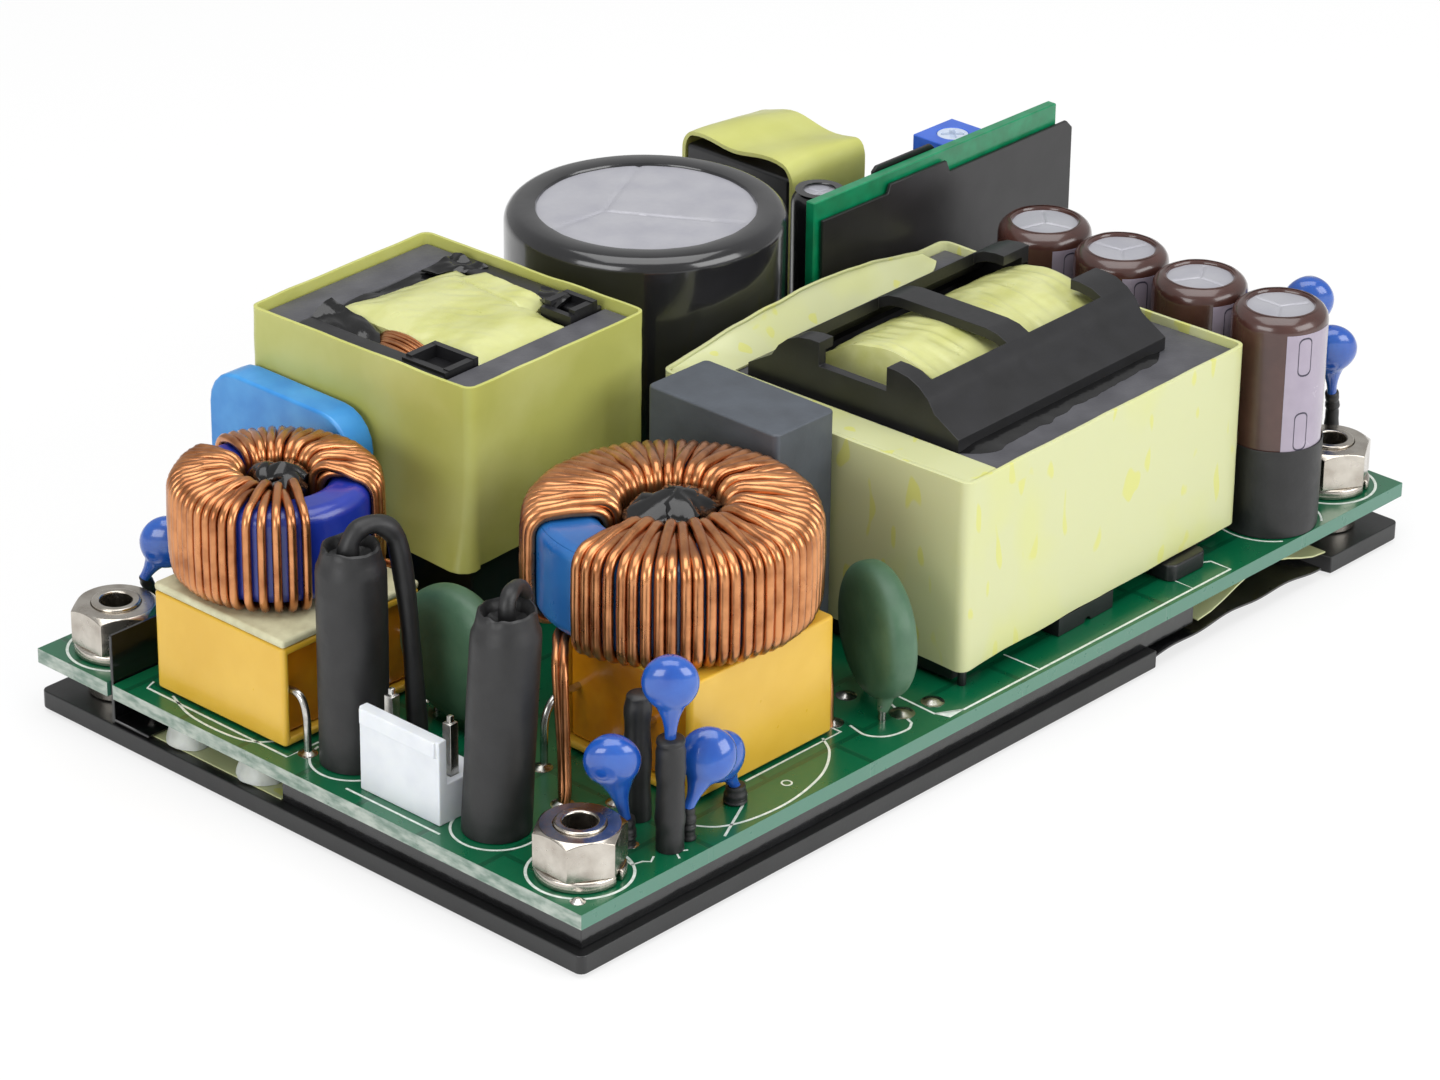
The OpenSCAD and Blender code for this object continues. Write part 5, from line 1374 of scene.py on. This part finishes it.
def can_top(shape, x, y, z, radius, lines, groove, step, sides, skirt):
    """A bare lid with pressed lines, which run down into a dish at the rim."""
    count = max(int(radius / step), 6)
    rings = []
    for k in range(count + 1):
        r = radius * k / count
        ring = []
        for j in range(sides):
            a = 2 * math.pi * j / sides
            px, py = r * math.cos(a), r * math.sin(a)
            depth = 0.0
            for x0, y0, x1, y1 in lines:
                run = Vector((x1 - x0, y1 - y0))
                reach = Vector((px - x0, py - y0))
                share = min(max(reach.dot(run) / run.length_squared, 0.0), 1.0)
                away = (reach - run * share).length
                depth = max(depth, math.exp(-(away / groove) ** 2))
            ring.append((x + max(px, 0.003 * math.cos(a)) if k == 0 else x + px,
                         y + py if k else y + 0.003 * math.sin(a),
                         z - 0.22 * depth * min(groove * 3, 1.0)))
        if k == 0:
            ring = [(x + 0.004 * math.cos(2 * math.pi * j / sides),
                     y + 0.004 * math.sin(2 * math.pi * j / sides), ring[0][2]) for j in range(sides)]
        rings.append(ring)
    rings.append([(p[0] + (p[0] - x) * 0.04, p[1] + (p[1] - y) * 0.04, z - skirt) for p in rings[-1]])
    shape.rings(rings)


def sleeve_skin(shape, x, y, low, high, radius, hole, seed):
    """A shrunk film sleeve, rolled over at the top, with a slightly uneven bead."""
    profile = [(radius - 0.3, 0.0), (radius, 0.0), (radius, 1.0), (radius, (high - low) / 2),
               (radius, high - low - 1.6),
               (radius - 0.1, high - low - 1.05), (radius - 0.35, high - low - 0.6),
               (radius - 0.8, high - low - 0.18),
               (radius - 1.3, high - low), (hole + 0.5, high - low - 0.02),
               (hole + 0.12, high - low - 0.12),
               (hole, high - low - 0.3), (hole + 0.02, high - low - 0.75)]
    rings = []
    for k, (r, h) in enumerate(profile):
        ring = []
        for j in range(128):
            a = 2 * math.pi * j / 128
            rough = 0.03 * wander(radius * math.cos(a), radius * math.sin(a), h, 3.0, seed)
            if k >= 9:
                rough += 0.09 * wander(radius * math.cos(a), radius * math.sin(a), 0, 2.0, seed + 4)
            ring.append((x + (r + rough) * math.cos(a), y + (r + rough) * math.sin(a), low + h))
        rings.append(ring)
    shape.rings(rings)


bulk = Shape()
bulk_r = (bulk_high.x - bulk_low.x) / 2
sleeve_skin(bulk, bulk_mid.x, bulk_mid.y, DECK + 0.03, bulk_high.z, bulk_r, 11.6, 3.0)
settle(bulk.build("bulk_film", 40), film_charcoal, ("bulk_sleeve",))
lid = Shape()
can_top(lid, bulk_mid.x, bulk_mid.y, bulk_high.z - 0.42, 12.3,
        ((-3.7, 2.6, 8.8, 9.0), (-3.7, 2.6, 4.2, -10.2), (-3.7, 2.6, -11.0, 3.0)), 0.22, 0.22, 160, 2.0)
settle(lid.build("bulk_lid", 40), can_bright, ("bulk_can",))

CAP_R = 5.1
cap_x = (can_low.x + can_high.x) / 2
cap_top = box_mm("output_sleeves")[1].z
skins, lids, stripes, outlines = Shape(), Shape(), Shape(), Shape()
stripe_from, stripe_to = -134.0, -68.0
for k in range(4):
    y = can_low.y + 4.5 + 10.6 * k
    twist = (0.0, 8.0, -6.0, 3.0)[k]
    sleeve_skin(skins, cap_x, y, DECK + 0.03, cap_top, CAP_R, 3.5, 5.0 + k)
    arms = [math.radians(90 + 120 * n + twist * 5 + 20 * k) for n in range(3)]
    can_top(lids, cap_x, y, cap_top - 0.42, 3.75,
            [(0, 0, 3.1 * math.cos(a), 3.1 * math.sin(a)) for a in arms], 0.16, 0.12, 96, 1.4)
    bottom, upper = DECK + 0.3, cap_top - 1.65
    rings = []
    for j in range(25):
        a = math.radians(stripe_from + twist + (stripe_to - stripe_from) * j / 24)
        near_r, far_r = CAP_R - 0.05, CAP_R + 0.045
        rings.append([(cap_x + r * math.cos(a), y + r * math.sin(a), z)
                      for r, z in ((near_r, bottom), (far_r, bottom), (far_r, upper), (near_r, upper))])
    stripes.rings(rings)
    for mark_top in (cap_top - 2.1, cap_top - 10.6):
        centre_a = math.radians(-137.5 + 27 + twist)
        pill = []
        half_w, half_h = 0.75, 2.1
        for cx, cz, start in ((1, 1, 0), (-1, 1, 90), (-1, -1, 180), (1, -1, 270)):
            for n in range(5):
                b = math.radians(start + 90 * n / 4)
                pill.append((cx * (half_w - 0.6) + 0.6 * math.cos(b),
                             cz * (half_h - 0.6) + 0.6 * math.sin(b)))
        rings = []
        for px, pz in pill:
            length = math.hypot(px, pz)
            ring = []
            for grow, r in ((0.09, CAP_R + 0.02), (0.09, CAP_R + 0.065), (-0.09, CAP_R + 0.065),
                            (-0.09, CAP_R + 0.02)):
                gx, gz = px * (1 + grow / length), pz * (1 + grow / length)
                a = centre_a + gx / CAP_R
                ring.append((cap_x + r * math.cos(a), y + r * math.sin(a), mark_top - half_h + gz))
            rings.append(ring)
        outlines.rings(rings, close_round=True)
settle(skins.build("output_film", 40), film_brown, ("output_sleeves",))
settle(lids.build("output_lids", 40), can_bright, ("output_cans",))
settle(stripes.build("polarity_stripes", 40), stripe_mauve)
settle(outlines.build("polarity_marks", 60), ink_dark)
softened("output_boot", sleeve_black, 0.12, 2)

small_low_can, small_high_can = box_mm("small_can")
small_mid = (small_low_can + small_high_can) / 2
skin = Shape()
sleeve_skin(skin, small_mid.x, small_mid.y, DECK + 0.1, small_high_can.z, 3.05, 2.15, 9.0)
settle(skin.build("small_can_film", 40), film_charcoal, ("small_can",))
lid = Shape()
can_top(lid, small_mid.x, small_mid.y, small_high_can.z - 0.35, 2.4,
        [(-1.9, 0, 1.9, 0), (0, -1.9, 0, 1.9)], 0.14, 0.12, 72, 1.2)
settle(lid.build("small_can_lid", 40), can_bright)


# ---------------------------------------------------------------- auxiliary transformer and cards

aux_low, aux_high = box_mm("aux_tape")
softened("aux_core", mould_black, 0.4, 3)
loop = Shape()
rings = []
outline = rounded_outline(aux_high.y - aux_low.y, aux_high.z - aux_low.z, 1.4, 0.9, 5)
mid = (aux_low + aux_high) / 2
steps = 16
for inner in (0, 1):
    for k in range(steps + 1):
        t = k / steps if not inner else 1 - k / steps
        x = aux_low.x + (aux_high.x - aux_low.x) * t
        ring = []
        for y, z, ny, nz in outline:
            out = -0.45 * inner + 0.12 * wander(x, y, z, 4, 2)
            lift = 0.0
            if nz > 0.5:
                across = (y + (aux_high.y - aux_low.y) / 2) / (aux_high.y - aux_low.y)
                lift = (1.15 * math.sin(math.pi * across)
                        * (0.3 + 0.7 * math.sin(math.pi * (0.15 + 0.8 * t)))
                        + 0.45 * math.sin(9 * across + 2 * t))
            ring.append((x, mid.y + y + ny * out, mid.z + z + nz * (out + lift)))
        rings.append(ring)
loop.rings(rings, close_round=True)
settle(loop.build("aux_band", 45), tape_olive, ("aux_tape",))

softened("control_board", card_green, 0.1, 1)
softened("control_shields", card_dark, 0.07, 1)
softened("trimmer_body", trimmer_blue, 0.3, 3)
softened("trimmer_rotor", dial_white, 0.1, 2, body="rotor")


# ---------------------------------------------------------------- stage, lights and camera

FLOOR_HALF = 1500
FLOOR_Z = -0.4
FLOOR_GLOW = 0.72
ROOM_LIGHT = 0.5
AIM = (0, 0, 0.02)

floor = mesh_object("floor", [(-FLOOR_HALF, -FLOOR_HALF, FLOOR_Z), (FLOOR_HALF, -FLOOR_HALF, FLOOR_Z),
                              (FLOOR_HALF, FLOOR_HALF, FLOOR_Z), (-FLOOR_HALF, FLOOR_HALF, FLOOR_Z)],
                    [(0, 1, 2, 3)])
floor_finish = Finish("floor_pale", paint(240, 240, 240), 0.7)
floor_finish.mottle(paint(236, 236, 236), 3).grain(30, 0.2, 0.1)
rays = floor_finish.node("ShaderNodeLightPath")
glow = floor_finish.node("ShaderNodeEmission")
glow.inputs["Color"].default_value = (1, 1, 1, 1)
glow.inputs["Strength"].default_value = 1.0
blend = floor_finish.node("ShaderNodeMixShader")
share = floor_finish.node("ShaderNodeMath", operation="MULTIPLY")
share.inputs[1].default_value = FLOOR_GLOW
floor_finish.link(rays.outputs["Is Camera Ray"], share.inputs[0])
floor_finish.link(share.outputs[0], blend.inputs[0])
floor_finish.link(floor_finish.shader.outputs[0], blend.inputs[1])
floor_finish.link(glow.outputs[0], blend.inputs[2])
floor_finish.link(blend.outputs[0], floor_finish.tree.nodes["Material Output"].inputs["Surface"])
floor.data.materials.append(floor_finish.material)

world = bpy.data.worlds.new("studio")
scene.world = world
world.use_nodes = True
sky = world.node_tree
backdrop = sky.nodes["Background"]
backdrop.inputs["Color"].default_value = (1, 1, 1, 1)
backdrop.inputs["Strength"].default_value = ROOM_LIGHT
white = sky.nodes.new("ShaderNodeBackground")
white.inputs["Color"].default_value = (1, 1, 1, 1)
white.inputs["Strength"].default_value = 1.0
pick = sky.nodes.new("ShaderNodeMixShader")
path = sky.nodes.new("ShaderNodeLightPath")
sky.links.new(path.outputs["Is Camera Ray"], pick.inputs[0])
sky.links.new(backdrop.outputs[0], pick.inputs[1])
sky.links.new(white.outputs[0], pick.inputs[2])
sky.links.new(pick.outputs[0], sky.nodes["World Output"].inputs["Surface"])


def softbox(name, place, aim, size, power, colour=(1, 1, 1)):
    """A soft rectangular lamp that looks at a point; places and sizes in metres."""
    light = bpy.data.lights.new(name, "AREA")
    light.shape = "RECTANGLE"
    light.size, light.size_y = size
    light.energy = power
    light.color = colour
    obj = bpy.data.objects.new(name, light)
    scene.collection.objects.link(obj)
    obj.location = place
    obj.rotation_euler = (Vector(aim) - Vector(place)).to_track_quat("-Z", "Y").to_euler()
    return obj


softbox("overhead", (-0.05, -0.05, 0.55), AIM, (0.6, 0.5), 2.45)
softbox("near_side", (0.15, -0.6, 0.28), AIM, (0.5, 0.35), 2.3)
softbox("mains_side", (-0.6, -0.05, 0.22), AIM, (0.4, 0.25), 1.3)

scene.view_settings.view_transform = "Standard"
camera = bpy.data.cameras.new("camera")
camera.sensor_width = 36
camera.lens = 130.178
camera.clip_start = 0.01
camera.clip_end = 10
eye = bpy.data.objects.new("camera", camera)
scene.collection.objects.link(eye)
right = Vector((0.6794226207912509, -0.7336689309892679, 0.010714572236582624))
up = Vector((0.3198965646053142, 0.30932242656872055, 0.8955366125542454))
ahead = Vector((0.6603416466578994, 0.6050202774475443, -0.4448588243099495))
turned = Matrix((right, up, -ahead)).transposed().to_4x4()
eye.matrix_world = Matrix.Translation((-0.35909073, -0.32560809, 0.24996366)) @ turned
scene.camera = eye
